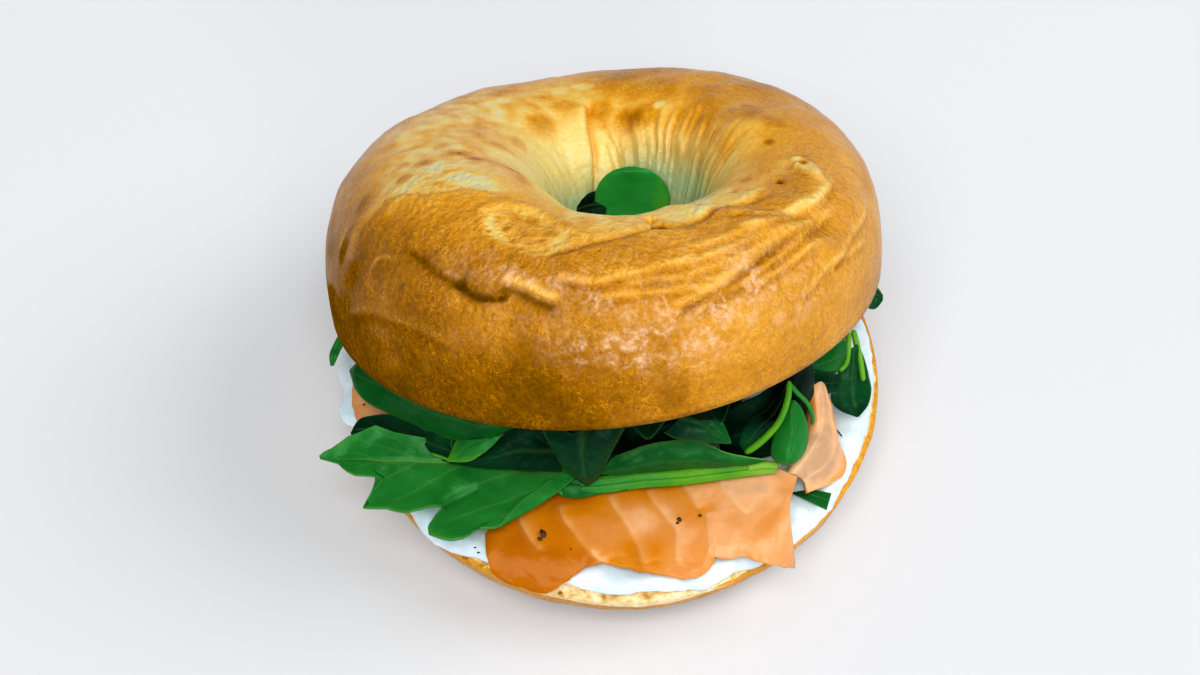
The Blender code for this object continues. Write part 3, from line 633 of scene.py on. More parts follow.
def lidDough(turn, around, points):
    # the large swells of the crust in millimetres, and how far it is baked, with painted shade low by the rim
    # and painted light on the right side
    swirl = turnBetween(turn + 1.5 * (around - 0.45), math.radians(-52))
    relief = 0.9 * (hump(swirl, 0.10) - 0.8 * hump(swirl - 0.17, 0.07)) * hump(around - 0.42, 0.26)
    for height, angle, wide, middle, high in lidSwells:
        relief += height * nearTurn(turn, angle, wide) * hump(around - middle, high)
    relief += 0.6 * noiseAt(np.stack([2.2 * np.cos(turn), 2.2 * np.sin(turn), 3.5 * around], axis=-1), 1.0)
    relief += lumpsAt(points, *lidShape["lumps"])

    bake = readTable(lidBakeAndShading, around) + lumpsAt(points, *lidShape["browning"])
    for change, angle, low, high, fromPlace, toPlace in lidSides:
        bake += change * towards(turn, angle, low, high) * between(-around, fromPlace, toPlace)
    for change, angle, wide, middle, high in lidPatches:
        bake += change * nearTurn(turn, angle, wide) * hump(around - middle, high)
    for change, angle, low, high, middle, wide in lidBands:
        bake += change * towards(turn, angle, low, high) * hump(around - middle, wide)
    # behind the front roll, on the left, the crust is paler, and the crest there is mottled
    past = readTable(lidRollEnd, around) + 180 - np.degrees(turnBetween(turn, -math.pi))
    bake -= (0.14 * between(past, 0.0, 4.0) * (1 - between(past, 40, 70)) * between(around, 0.10, 0.36)
             * (1 - between(around, 0.5, 0.6)))
    leftCrest = towards(turn, 166, 0.55, 0.8) * hump(around - 0.50, 0.14)
    bake += leftCrest * (0.30 * noiseAt(points, 2.6, 26) - 0.05)
    relief += 0.12 * leftCrest * noiseAt(points, 2.2, 27)
    return relief, bake


def addCreases(turn, around, relief, bake):
    # the creases of the hole's wall, darkened with painted shade and paler on their ridges, and the fine
    # strands on its right, where the wall is darkened with painted shade
    wander = 0.05 * noiseAt(np.stack([3 * turn, 9 * around, 0 * turn], axis=-1), 1.0, 21)
    for angle, low, high, depth, width, lean in innerCreases():
        crease = turnBetween(turn + wander + lean * (around - 0.78), math.radians(angle))
        fade = between(around, low, low + 0.10) * (1 - between(around, high, high + 0.05))
        dip, ridge = hump(crease, width), hump(crease - 1.8 * width, width)
        relief -= depth * (dip - 0.5 * ridge) * fade
        bake += (0.22 * dip - 0.10 * ridge) * fade * depth
    rightWall = towards(turn, 50, 0.55, 0.8) * between(around, 0.60, 0.70)
    strands = np.stack([26 * (turn + 0.35 * around + wander), 2.4 * around, 0 * turn], axis=-1)
    strands = noiseAt(strands, 1.0, 22)
    relief += 0.20 * strands * rightWall
    bake += rightWall * (0.17 - 0.22 * strands)


def addFolds(points, onArch, relief, bake):
    for path, width, depth, fold, dark, pale in lidStrokes:
        near, distance, leftward, inside = nearPath(points, path, 9.0)
        leftward = leftward * math.copysign(1, fold)
        raised = 1 / (1 + np.exp(-leftward / (0.28 * width))) * np.exp(-distance / (2.6 * width + 0.8))
        inside = inside * onArch[near]
        rise = abs(fold) * raised - depth * np.exp(-distance / width)
        relief[near] += strokeGain["relief"] * inside * rise
        # the crease is darkened with painted shade and the raised edge paled with a painted highlight
        edge = hump(leftward - 1.1 * width, 0.8 * width) * hump(distance, 3 * width)
        bake[near] += strokeGain["bake"] * inside * (dark * hump(distance, 0.9 * width) - pale * edge)
    for path, width, paleness in lidStreaks:
        near, distance, _, inside = nearPath(points, path, 3 * width)
        bake[near] -= paleness * hump(distance, width) * inside * onArch[near]
    # the crack: its upper side falls in under a raised lip, its hollow darkened with painted shade and its
    # lip made paler
    near, distance, leftward, inside = nearPath(points, lidCrack["path"], 9.0)
    inside = inside * onArch[near]
    falls = 0.5 + 0.5 * np.tanh(leftward / 0.3)
    hollow = falls * np.exp(-distance / lidCrack["reach"]) + (1 - falls) * np.exp(-distance / 0.5)
    lip = (1 - falls) * np.exp(-distance / lidCrack["lipReach"])
    relief[near] += inside * (lidCrack["lip"] * lip - lidCrack["depth"] * hollow)
    bake[near] += inside * (0.24 * hump(distance, 0.9) + 0.20 * falls * np.exp(-distance / 1.8) - 0.14 * lip)


def addMarks(points, onTop, relief, bake):
    # spots, pits and pale places, each where the tables put it in the plan
    for x, y, radius, browning in lidSpots:
        wobble = 0.35 * noiseAt(points[onTop] * np.array([1, 1, 0]), 2.2, x + y) if radius > 1 else 0.0
        distance = np.hypot(points[onTop, 0] - x, points[onTop, 1] - y) / radius
        bake[onTop] += browning * (1 - between(distance + wobble, 0.55, 1.45))
    for x, y, radius, depth in lidPits:
        relief -= depth * np.where(onTop, hump(np.hypot(points[:, 0] - x, points[:, 1] - y), radius), 0.0)
    ragged = 0.22 * noiseAt(points, 2.6, 16)
    for x, y, longHalf, shortHalf, angle, paleness, rise in lidPale:
        distance = ovalDistance(points, (x, y), longHalf, shortHalf, angle)[0] + ragged
        patch = np.where(onTop, 1 - between(distance, 0.6, 1.2), 0.0)
        relief += rise * patch
        bake -= paleness * patch
    oval = lidPatch
    distance, off = ovalDistance(points, oval["centre"], oval["length"], oval["width"], oval["angle"])
    distance = np.where(onTop, distance + 0.5 * ragged, 9.0)
    lower = between(-off, -0.35, 0.35)
    patchy = 1 + 0.9 * noiseAt(points, 1.8, 19)
    bake -= oval["paleness"] * hump(distance - 0.80, 0.26) * (0.12 + 0.88 * lower) * patchy
    bake -= 0.08 * (1 - between(distance, 0.8, 1.05))
    bake += 0.06 * hump(distance - 1.14, 0.09)
    relief -= 0.35 * (1 - between(distance, 0.7, 1.0)) - 0.30 * hump(distance - 1.03, 0.10)


def lidRelief(turn, around, points, onArch):
    # rise along the way the crust faces, in millimetres, and how far it is baked, with painted shade in its
    # creases and hollows and painted light on raised edges and the right side
    relief, bake = lidDough(turn, around, points)
    addCreases(turn, around, relief, bake)
    addFolds(points, onArch, relief, bake)
    addMarks(points, onArch & (around > 0.12), relief, bake)
    degrees = np.degrees(turnBetween(turn, 0.0))
    ledgeFrom = readTable(lidLedge, degrees)
    ledge = between(around, ledgeFrom, ledgeFrom + 0.02) * (1 - between(around, 0.60, 0.70))
    ledge *= between(degrees, -108, -101) * (1 - between(degrees, -40, -26))
    bake -= ledge * (0.20 + 0.16 * noiseAt(points, 3.2, 17))
    return relief, np.clip(bake, 0.0, 1.0)


def makeLid():
    shape = lidShape
    ringSteps = shape["archSteps"] + shape["faceSteps"]
    lid, turn, step = addTorus("bagelLid", shape["turnSteps"], ringSteps, 34, 14)
    # more points to the front and to the side that the crust shows
    turn = turn - shape["frontDetail"] * np.sin(turn + math.pi / 2)
    onArch = step < shape["archSteps"]
    around = np.clip(step / (shape["archSteps"] - 1), 0.0, 1.0)
    shift = np.sin(fullTurn * (around - 0.33)) + math.sin(fullTurn * 0.33) * (1 - 2 * around)
    around = around - shape["sideDetail"] / fullTurn * shift
    around = np.where(onArch, np.clip(around, 0.0, 1.0), 0.0)
    points, facing = lidSmooth(turn, around)
    # the cut face runs back from the hole, share 0, to the rim, share 1
    share = (step - shape["archSteps"] + 1) / (shape["faceSteps"] + 1)
    rimEdge, holeEdge = lidSmooth(turn, np.zeros_like(turn))[0], lidSmooth(turn, np.ones_like(turn))[0]
    points = np.where(onArch[:, None], points, holeEdge + (rimEdge - holeEdge) * share[:, None])

    relief, bake = lidRelief(turn, around, points, onArch)
    pits = np.clip(lumpsAt(points, *shape["pits"]), 0.0, 1.0)
    fade = np.minimum(1.0, 5 * np.minimum(around, 1 - around))
    points = points + facing * (relief * fade * onArch)[:, None]
    # the crumb of the cut face is pitted, and no part of it comes past the plane of the cut
    inner = between(share, 0.0, 0.08) * (1 - between(share, 0.94, 1.0))
    points[:, 2] = np.where(onArch, points[:, 2], 1.1 * pits * inner)
    edge = onArch & ((step == 0) | (step == shape["archSteps"] - 1))
    points[:, 2] = np.where(edge, 0.0, points[:, 2])
    points = points @ np.array(lidTurn).T + np.array(shape["centre"])
    writePoints(lid, points)

    crumb = np.where(onArch, 0.0, between(share, 0.0, 0.05) * (1 - between(share, 0.93, 0.99)))
    wallTurn = turnBetween(turn, 0.0)
    fromWall = np.abs(wallTurn - 0.75)
    # deep: painted shade and green light from the leaves, strongest down the hole's wall
    deep = 0.62 * between(around, 0.66, 0.80) * (1 - between(fromWall, 0.7, 1.1))
    deep += 0.30 * between(around, 0.60, 0.74) * between(fromWall, 0.9, 1.3)
    deep += 0.50 * between(around, 0.75, 0.90)
    deep += 0.4 * between(around, 0.86, 0.93) * hump(np.abs(wallTurn) - 2.6, 0.5)
    # the painted shade and green light are weaker on the hole's front wall
    deep *= 0.55 + 0.45 * between(np.sin(turn), -0.3, 0.3)
    front = towards(turn, -80, -0.2, 0.5) * between(-around, -0.58, -0.42)
    # painted glints, faint over the front and strong in the listed places
    sheen = 0.11 * front * between(around, 0.08, 0.2) * between(np.degrees(wallTurn), -135, -110)
    for angle, middle, wide, high, strength in lidGlints:
        sheen += strength * nearTurn(turn, angle, math.radians(wide)) * hump(around - middle, high)
    storeValues(lid, bake=bake, crumb=crumb, pore=pits * crumb, deep=np.clip(deep, 0, 0.95) * onArch,
                skin=0.30 + 0.70 * front,
                sheen=np.clip(sheen * (1.15 + 1.2 * noiseAt(points, 4.0, 24)), 0, 0.9) * onArch)
    finishPiece(lid, crustFinish, "crust", "bagel_lid")


makeLid()

# ---- lower half of the bagel ----

baseShape = {"radius": 53.4, "depthShare": 1.03, "height": 16.0, "hole": 12.5, "footInner": 0.26,
             "footOuter": 0.62, "bevel": 1.5, "bevelReach": 3.4,
             "turnSteps": 420, "cutSteps": 50, "holeSteps": 16, "footSteps": 12, "sideSteps": 42,
             "lumps": [(0.30, 7.0, 10), (0.12, 2.6, 11), (0.05, 1.2, 12)],
             "browning": [(0.10, 12.0, 13), (0.06, 4.0, 14)], "pits": [(1.0, 2.2, 8), (0.7, 1.0, 9)]}
# how far it is baked, up its side by height and on its other faces
baseBake = {"side": [(0, 0.84), (3, 0.78), (8, 0.66), (12, 0.58), (14, 0.52)],
            "cut": 0.46, "hole": 0.30, "foot": 0.86}


def baseRim(turn):
    swell = 1 + 0.008 * np.cos(3 * turn + 2.6) + 0.022 * hump(turnBetween(turn, -0.15), 0.55)
    return baseShape["radius"] * swell * np.hypot(np.cos(turn), baseShape["depthShare"] * np.sin(turn))


def cutHeight(fromRim):
    # the cut face rolls down a little towards the crust
    rolled = np.clip(1 - fromRim / baseShape["bevelReach"], 0, 1)
    return baseShape["height"] - baseShape["bevel"] * rolled ** 2


def makeBase():
    shape = baseShape
    counts = [shape["cutSteps"], shape["holeSteps"], shape["footSteps"], shape["sideSteps"]]
    base, turn, step = addTorus("bagelBase", shape["turnSteps"], sum(counts), 33, 8)
    rim = baseRim(turn) / np.hypot(np.cos(turn), shape["depthShare"] * np.sin(turn))
    rim = np.stack([rim * np.cos(turn), shape["depthShare"] * rim * np.sin(turn)], axis=-1)
    hole = shape["hole"] * np.stack([np.cos(turn), np.sin(turn)], axis=-1)
    width = np.linalg.norm(rim - hole, axis=1)
    cutEnd, holeEnd, footEnd = np.cumsum(counts)[:3]
    onCut, onSide = step < cutEnd, step >= footEnd
    places = [onCut, (step >= cutEnd) & (step < holeEnd), (step >= holeEnd) & (step < footEnd)]
    # the share of the way from the hole to the rim, and the height
    cutShare = 1 - (step / cutEnd) ** 1.35
    down = np.pi / 2 * np.clip((step - cutEnd) / counts[1], 0, 1)
    holeShare = shape["footInner"] * (1 - np.clip(np.cos(down), 0, 1) ** 0.75)
    footShare = shape["footInner"] + (shape["footOuter"] - shape["footInner"]) * (step - holeEnd) / counts[2]
    up = np.pi / 2 * (1 - np.clip((step - footEnd) / counts[3], 0, 1))
    sideShare = shape["footOuter"] + (1 - shape["footOuter"]) * np.clip(np.cos(up), 0, 1) ** 1.25
    share = np.select(places, [cutShare, holeShare, footShare], sideShare)
    fromEdge = (1 - cutShare) * width
    sideTop = shape["height"] - shape["bevel"]
    height = np.select(places, [cutHeight(fromEdge), shape["height"] * (1 - np.sin(down)), 0.0],
                       sideTop * (1 - np.sin(up)))
    points = np.concatenate([hole + (rim - hole) * share[:, None], height[:, None]], axis=1)
    writePoints(base, points)

    pits = np.clip(lumpsAt(points, *shape["pits"]), 0.0, 1.0)
    relief = lumpsAt(points, *shape["lumps"]) * between(height, 0.0, 3.0)
    relief = np.where(onCut, -pits * between(1 - share, 0.0, 0.02), relief)
    points = points + readVectors(base, "normal") * relief[:, None]
    points[:, 2] = np.clip(points[:, 2], 0.0, shape["height"])
    writePoints(base, points)

    bake = readTable(baseBake["side"], height)
    bake = np.select(places, [baseBake["cut"], baseBake["hole"], baseBake["foot"]], bake)
    bake += lumpsAt(points, *shape["browning"])
    # at the front the crumb reaches a little below the edge
    front = nearTurn(turn, -86, 0.36)
    edge = between(fromEdge + 0.5 * noiseAt(points, 5.0, 25), 0.5 - 2 * front, 1.3 - 2 * front)
    crumb = np.where(onCut, edge, between(height, 14.4 - 2.4 * front, 15.2 - 2.4 * front) * onSide)
    storeValues(base, bake=np.clip(bake, 0, 1), crumb=crumb, pore=np.where(onCut, pits, 0.0),
                skin=0.6, sheen=0.0)
    finishPiece(base, crustFinish, "crust", "bagel_base")


makeBase()

# ---- soft cheese ----

# the spread's outer edge: turn and radius
cheeseEdge = [
    (-180, 57.2), (-177, 56.9), (-174, 55.8), (-171.5, 56), (-169.5, 57.5), (-167, 57.3), (-165, 56),
    (-163, 53.6), (-158, 51.6), (-148, 52), (-140, 53.6), (-130, 55.2), (-126, 54.6), (-121, 53.2),
    (-112, 53), (-104, 52.4), (-98, 53), (-93, 53.6), (-89, 54), (-84, 53.3), (-80, 53.8), (-76, 54.4),
    (-73, 55), (-69, 54.9), (-65, 54.2), (-60, 54.7), (-53, 54.9), (-48, 54.8), (-41, 54.9), (-35, 54.3),
    (-28, 53.7), (-19, 53.4), (-10, 53.3), (0, 53.3), (8, 53.2), (18, 51.8), (30, 50.2), (44, 51.6),
    (58, 50.4), (70, 51.8), (84, 50.6), (98, 52), (112, 50.6), (126, 51.4), (140, 50), (152, 51.6), (165, 53),
    (172, 56), (176, 57.2), (180, 57.2),
]
cheeseShape = {"gap": 0.12, "thickness": 2.3, "inner": 15.0,
               "turnSteps": 460, "topSteps": 74, "underSteps": 20,
               "raggedEdge": [(0.35, 0.06, 15), (0.2, 0.025, 18)],
               "smears": [(0.40, 6.0, 16), (0.28, 2.4, 17)]}


def makeCheesePiece():
    shape = cheeseShape
    ringSteps = shape["topSteps"] + shape["underSteps"]
    cheese, turn, step = addTorus("softCheese", shape["turnSteps"], ringSteps, 33, 4)
    around = np.stack([np.cos(turn), np.sin(turn), 0 * turn], axis=-1)
    outer = readTable(cheeseEdge, np.degrees(turnBetween(turn, 0.0)))
    outer = outer + lumpsAt(around, *shape["raggedEdge"])
    inner = shape["inner"] + 0.8 * np.sin(4 * turn)
    onTop = step < shape["topSteps"]
    # 1 outside, 0 at the hole
    reach = 0.5 + 0.5 * np.cos(np.pi * np.clip(step / (shape["topSteps"] - 1), 0, 1))
    lift = np.clip(1 - np.abs(2 * reach - 1) ** 18, 0, 1) ** 0.5
    under = np.clip((step - shape["topSteps"] + 1) / (shape["underSteps"] + 1), 0, 1)
    radius = inner + (outer - inner) * np.where(onTop, reach, under)
    points = radius[:, None] * around
    height = shape["thickness"] * (0.22 + 0.78 * lift) * (0.86 + 0.10 * np.sin(9 * turn))
    height += lumpsAt(points, *shape["smears"]) * lift
    fromRim = np.clip(baseRim(turn) - radius, 0.0, None)
    points[:, 2] = cutHeight(fromRim) + shape["gap"] + np.where(onTop, np.clip(height, 0.4, 2.4), 0.0)
    # past the rim it sags a little over the crust
    points[:, 2] -= 0.35 * np.clip(radius - baseRim(turn) - 0.6, 0.0, None)
    writePoints(cheese, points)
    finishPiece(cheese, cheeseFinish, "soft_cheese", "soft_cheese")


makeCheesePiece()

# ---- smoked salmon ----

# each slice lies between two edges, given as points; fat lines run over it, and "pale" holds soft pale places
salmonSlices = {
    "salmonFront": {
        "node": "salmon_front", "along": 220, "across": 72, "seed": 1, "bow": -1.3,
        "inner": [(-17.5, -30, 21.2), (-9, -29, 21.2), (0, -28.5, 21.2), (10, -28, 21.3), (20, -28, 21.6),
                  (29, -28.8, 22.2), (35.6, -31.6, 22.5)],
        "outer": [(-24.7, -43.2, 19.9), (-24.6, -47.6, 19.8), (-23.6, -50.2, 18.2), (-19.7, -52.3, 17.2),
                  (-13.6, -53.6, 16.7), (-9.7, -52.2, 18), (-6, -50, 19.4), (-3, -49.1, 19.8),
                  (1, -49.8, 19.8), (6.4, -51.3, 19.7), (10.2, -51.9, 19.6), (14, -52.4, 19.4),
                  (16.4, -51.8, 19.4), (18, -49.6, 19.6), (18.6, -47.9, 19.8), (21.1, -48.3, 19.8),
                  (24, -47.8, 19.8), (27.6, -48.5, 19.6), (31.5, -48.8, 18.4), (34.4, -47.2, 14.6)],
        "flesh": [(0, 0.02), (0.25, 0.11), (0.45, 0.4), (0.62, 0.56), (0.74, 0.7), (1, 0.7)],
        "lines": [[(-10.6, -37), (-10, -39.8), (-7.6, -43.4), (-4.8, -46.9), (-1, -49.5)],
                  [(-1.5, -35), (-0.1, -37.6), (2.3, -41.8), (4.6, -46.4), (5.5, -50)],
                  [(6, -33.5), (7.5, -36.5), (9.8, -39.9), (11.7, -43.3), (11.7, -50.3)],
                  [(12.2, -30.5), (13.3, -32.8), (14.7, -35.4), (16.5, -38.6)],
                  [(20, -30.5), (20.9, -32.6), (22, -35), (23.6, -37.6), (26, -40)],
                  [(-19.5, -36), (-19, -38.6), (-17.1, -42.8), (-14.2, -47.3)],
                  [(17.6, -39), (17.8, -41.3), (18, -45.4), (18.1, -48.3)]],
        "pale": [(-3.9, -42, 5.5, 0.34), (5.8, -40.4, 4.2, 0.5), (-14, -41, 4, 0.06), (24, -36, 5, 0.04),
                 (29.5, -33, 4.5, 0.04), (14.5, -44, 3, 0.16), (-9, -33, 5, -0.16), (8, -32, 6, -0.2),
                 (6.5, -47.5, 4, -0.24), (16.5, -34, 3, 0.1), (-16, -51, 5, -0.12)],
    },
    "salmonLeft": {
        "node": "salmon_left", "along": 90, "across": 40, "seed": 2, "bow": 0,
        "inner": [(-31.5, 9.5, 20.2), (-33.5, 2, 20.2), (-33, -8, 20.2), (-29, -17, 20.2)],
        "outer": [(-43, 13, 20), (-49.5, 6, 20), (-52.4, -3, 20), (-53, -9, 19.7), (-52.4, -14.5, 19.4),
                  (-50.2, -18.6, 19.6), (-45.5, -24, 20)],
        "flesh": [(0, 0.55), (0.6, 0.66), (1, 0.55)],
        "lines": [[(-52, -13), (-44, -10), (-36, -9)], [(-52, -4), (-44, -2), (-36, -2)]],
        "pale": [(-48, -15, 4, 0.25)],
    },
    "salmonBack": {
        "node": "salmon_back", "along": 120, "across": 40, "seed": 3, "bow": 0,
        "inner": [(25.5, 20.5, 20.2), (14, 28, 20.2), (0, 31, 20.2), (-12, 29, 20.2), (-21, 24, 20.2)],
        "outer": [(33.5, 27, 20), (24, 39, 20), (10, 44, 20), (-4, 46, 20), (-17, 43.5, 20), (-29, 34, 20)],
        "flesh": [(0, 0.35), (0.5, 0.6), (1, 0.35)],
        "lines": [[(21, 24), (26, 35)], [(12, 30), (14, 42)], [(2, 31), (1, 45)], [(-9, 30), (-13, 43)],
                  [(-18, 26), (-24, 37)]],
        "pale": [(6, 37, 5, 0.3), (-12, 36, 4, 0.3), (20, 31, 4, 0.2)],
    },
}
# how the muscle lines show: paleness, how far the flake beside them swells, and how deep they are sunk
sliceShape = {"thickness": 1.5, "lineFat": 0.34, "lineGlow": 0.16, "swell": 0.34, "sunk": 0.10,
              "ragged": 0.35, "palest": 0.80}
# the folded slice at the right: lines along its foot, its left edge, its ridge and its right edge
foldLines = {
    "foot": [(37.4, -16.4, 25.5), (37.3, -19.5, 24.5), (37, -23, 23), (36, -26, 21.8), (34.6, -28.8, 21.4),
             (33.2, -31.4, 21.6)],
    "left": [(38.5, -16.5, 30.4), (38.8, -19.1, 30), (38.7, -22.3, 27.8), (38, -24.7, 25.4),
             (36.6, -27.6, 23.8), (34.6, -30.8, 22.9)],
    "ridge": [(40.2, -15.2, 31.6), (40.9, -19.5, 29.6), (41.4, -23.4, 26.8), (41.3, -26.2, 24.4),
              (39.9, -29.2, 23), (36.6, -32.4, 22.6)],
    "right": [(41.9, -16.9, 29.6), (42.9, -21, 26), (43.8, -24.7, 23), (45.2, -27.2, 20.9),
              (43.4, -30.6, 20.2), (37.4, -34.4, 21.2)],
}
foldShape = {"along": 110, "across": 70, "thickness": 1.2}
foldFlesh = [(0.0, 0.70), (0.35, 1.0), (0.7, 1.0), (0.88, 0.86), (1.0, 0.62)]


def vectors(rows):
    return [Vector(row) for row in rows]


def offPath(points, path, samples=60):
    # distance in the plan from a path, how far to its left, and 1 away from its ends
    corners = [Vector((x, y, 0.0)) for x, y in path]
    line = np.array([pathPoint(corners, k / (samples - 1)) for k in range(samples)])[:, :2]
    aside = points[:, None, :2] - line[None, :, :]
    nearest = (aside ** 2).sum(axis=2).argmin(axis=1)
    step = np.gradient(line, axis=0)
    step /= np.linalg.norm(step, axis=1, keepdims=True)
    offset = aside[np.arange(len(points)), nearest]
    leftward = step[nearest, 0] * offset[:, 1] - step[nearest, 1] * offset[:, 0]
    fade = 1 - between(np.abs(nearest / (samples - 1) - 0.5), 0.40, 0.5)
    return np.linalg.norm(offset, axis=1), leftward, fade


def thicken(piece, thickness):
    wall = piece.modifiers.new("thickness", "SOLIDIFY")
    wall.thickness = thickness * mm
    wall.offset = 0.0
    wall.use_even_offset = False
    selectOnly(piece)
    bpy.ops.object.modifier_apply(modifier=wall.name)


def makeSlice(name, oneSlice):
    piece, u, v = addGrid(name, oneSlice["along"], oneSlice["across"])
    inner, outer = vectors(oneSlice["inner"]), vectors(oneSlice["outer"])
    shape, seed = sliceShape, oneSlice["seed"]
    points = []
    for a, b in zip(u, v):
        low, high = pathPoint(inner, a), pathPoint(outer, a)
        # the surface stays level and only drops close to its outer edge
        point = low.lerp(high, b)
        point.z = low.z + (high.z - low.z) * b ** 5
        points.append(tuple(point))
    points = np.array(points)
    points[:, 0] += oneSlice["bow"] * np.sin(np.pi * v) * between(u, 0.85, 1.0)
    fat, flesh, rise = np.zeros(len(u)), readTable(oneSlice["flesh"], u), np.zeros(len(u))
    for line in oneSlice["lines"]:
        # each muscle line is pale and sunk, and the flake on its left swells over it
        distance, leftward, fade = offPath(points, line)
        soft = 0.5 + 0.5 * np.tanh(leftward / 0.35)
        pale = shape["lineFat"] * hump(distance, 0.40) + shape["lineGlow"] * hump(distance, 1.1)
        fat = np.maximum(fat, fade * pale)
        flesh += (0.36 * soft - 0.10) * fade * np.exp(-distance / 2.4)
        rise += fade * (shape["swell"] * soft * np.exp(-distance / 2.2) - shape["sunk"] * hump(distance, 0.6))
    for x, y, radius, paleness in oneSlice["pale"]:
        flesh += paleness * hump(np.hypot(points[:, 0] - x, points[:, 1] - y), radius)
    rise += lumpsAt(points, (0.50, 9.0, seed + 20), (0.16, 3.6, seed + 21)) * (1 - 0.6 * v)
    rise += 0.04 * noiseAt(points, 1.3, seed + 24)
    points[:, 2] += (rise + 0.2) * (1 - 0.5 * between(v, 0.85, 1.0))
    ragged = np.stack([noiseAt(points, 2.0, seed + 22), noiseAt(points, 2.0, seed + 23)], axis=-1)
    points[:, :2] += shape["ragged"] * between(v, 0.8, 1.0)[:, None] * ragged
    writePoints(piece, points)
    storeValues(piece, fat=fat * (0.6 + 0.6 * noiseAt(points, 3.0, seed + 30)),
                flesh=np.minimum(flesh, shape["palest"]) + 0.08 * noiseAt(points, 5.0, seed + 31))
    thicken(piece, shape["thickness"])
    finishPiece(piece, salmonFinish, "smoked_salmon", oneSlice["node"])


def makeFold():
    piece, u, v = addGrid("salmonFold", foldShape["along"], foldShape["across"])
    lines = [vectors(line) for line in foldLines.values()]
    points = np.array([tuple(pathPoint([pathPoint(line, a) for line in lines], b)) for a, b in zip(u, v)])
    points[:, 2] += 0.35 * noiseAt(points, 4.0, 30) + 0.3 * np.sin(9 * u + 4 * v)
    points[:, 0] += 0.30 * noiseAt(points, 3.0, 31)
    writePoints(piece, points)
    whitish = hump(v - 0.45 + 0.12 * u, 0.10) * between(u, 0.55, 0.75)
    streaks = 0.35 * np.clip(np.sin(22 * v + 6 * u), 0, 1) ** 6
    yellowish = hump(v - 0.33, 0.12) * hump(u - 0.25, 0.25)
    storeValues(piece, fat=np.clip(0.8 * whitish + streaks, 0, 1),
                flesh=readTable(foldFlesh, v) - 0.5 * yellowish + 0.06 * noiseAt(points, 3.0, 33))
    thicken(piece, foldShape["thickness"])
    finishPiece(piece, salmonFinish, "smoked_salmon", "salmon_fold")


for sliceName, sliceValues in salmonSlices.items():
    makeSlice(sliceName, sliceValues)
makeFold()

# ---- rocket ----

# a leaf stays this far over what it lies on, as far out as the base reaches, and this far under the lid
leafPlace = {"floorGap": 0.9, "baseReach": 54, "lidGap": 0.5}
# what every leaf takes unless its own values say otherwise
leafLook = {"thickness": 0.45, "along": 50, "across": 22, "wave": 0.30, "veins": 0.12, "sideVeins": 7.0,
            "dent": 0.14, "rim": 0.2, "inHole": False, "lines": False}

# the lobed leaf: its midrib from stalk to tip, and its two edges as pairs of share along the midrib and reach
lobedLeaf = {
    "side": (0, -1, -0.28), "along": 150, "across": 60, "curl": 0.3, "tone": (0.55, 0.66), "veins": 0.42,
    "spine": [(2, -28, 26.5), (-11.9, -31.9, 26.4), (-30.6, -30.6, 26.8), (-45.9, -29.8, 25.8),
              (-58.3, -27.9, 24)],
    "edge": [(0, 0.9), (0.22, 1.1), (0.27, 2.4), (0.295, 4.2), (0.335, 7.2), (0.365, 10.8), (0.38, 13),
             (0.425, 13.6), (0.44, 14.8), (0.46, 16), (0.495, 16.6), (0.525, 16.4), (0.57, 15.4),
             (0.575, 13.8), (0.555, 11.8), (0.535, 10.2), (0.53, 9.3), (0.56, 9.6), (0.61, 10.4), (0.645, 11),
             (0.675, 10.6), (0.71, 10), (0.785, 10), (0.775, 8.6), (0.76, 6.6), (0.74, 5), (0.725, 3.6),
             (0.765, 3.4), (0.83, 3.6), (0.87, 2.6), (0.905, 0.9), (0.95, 0.5), (1, 0.1)],
    "other": [(0, 0.9), (0.1, 1), (0.2, 1.1), (0.3, 1.3), (0.38, 1.6), (0.45, 2.2), (0.52, 3.4), (0.57, 4.4),
              (0.65, 5.2), (0.705, 6), (0.735, 6.6), (0.775, 7.2), (0.805, 6.6), (0.84, 5.8), (0.885, 4.8),
              (0.945, 2.2), (0.975, 1.4), (1, 0.1)],
}
lobedNotch = [(-33.5, -40.0), (-31.8, -38.4), (-29.3, -37.1), (-26.0, -35.8)]
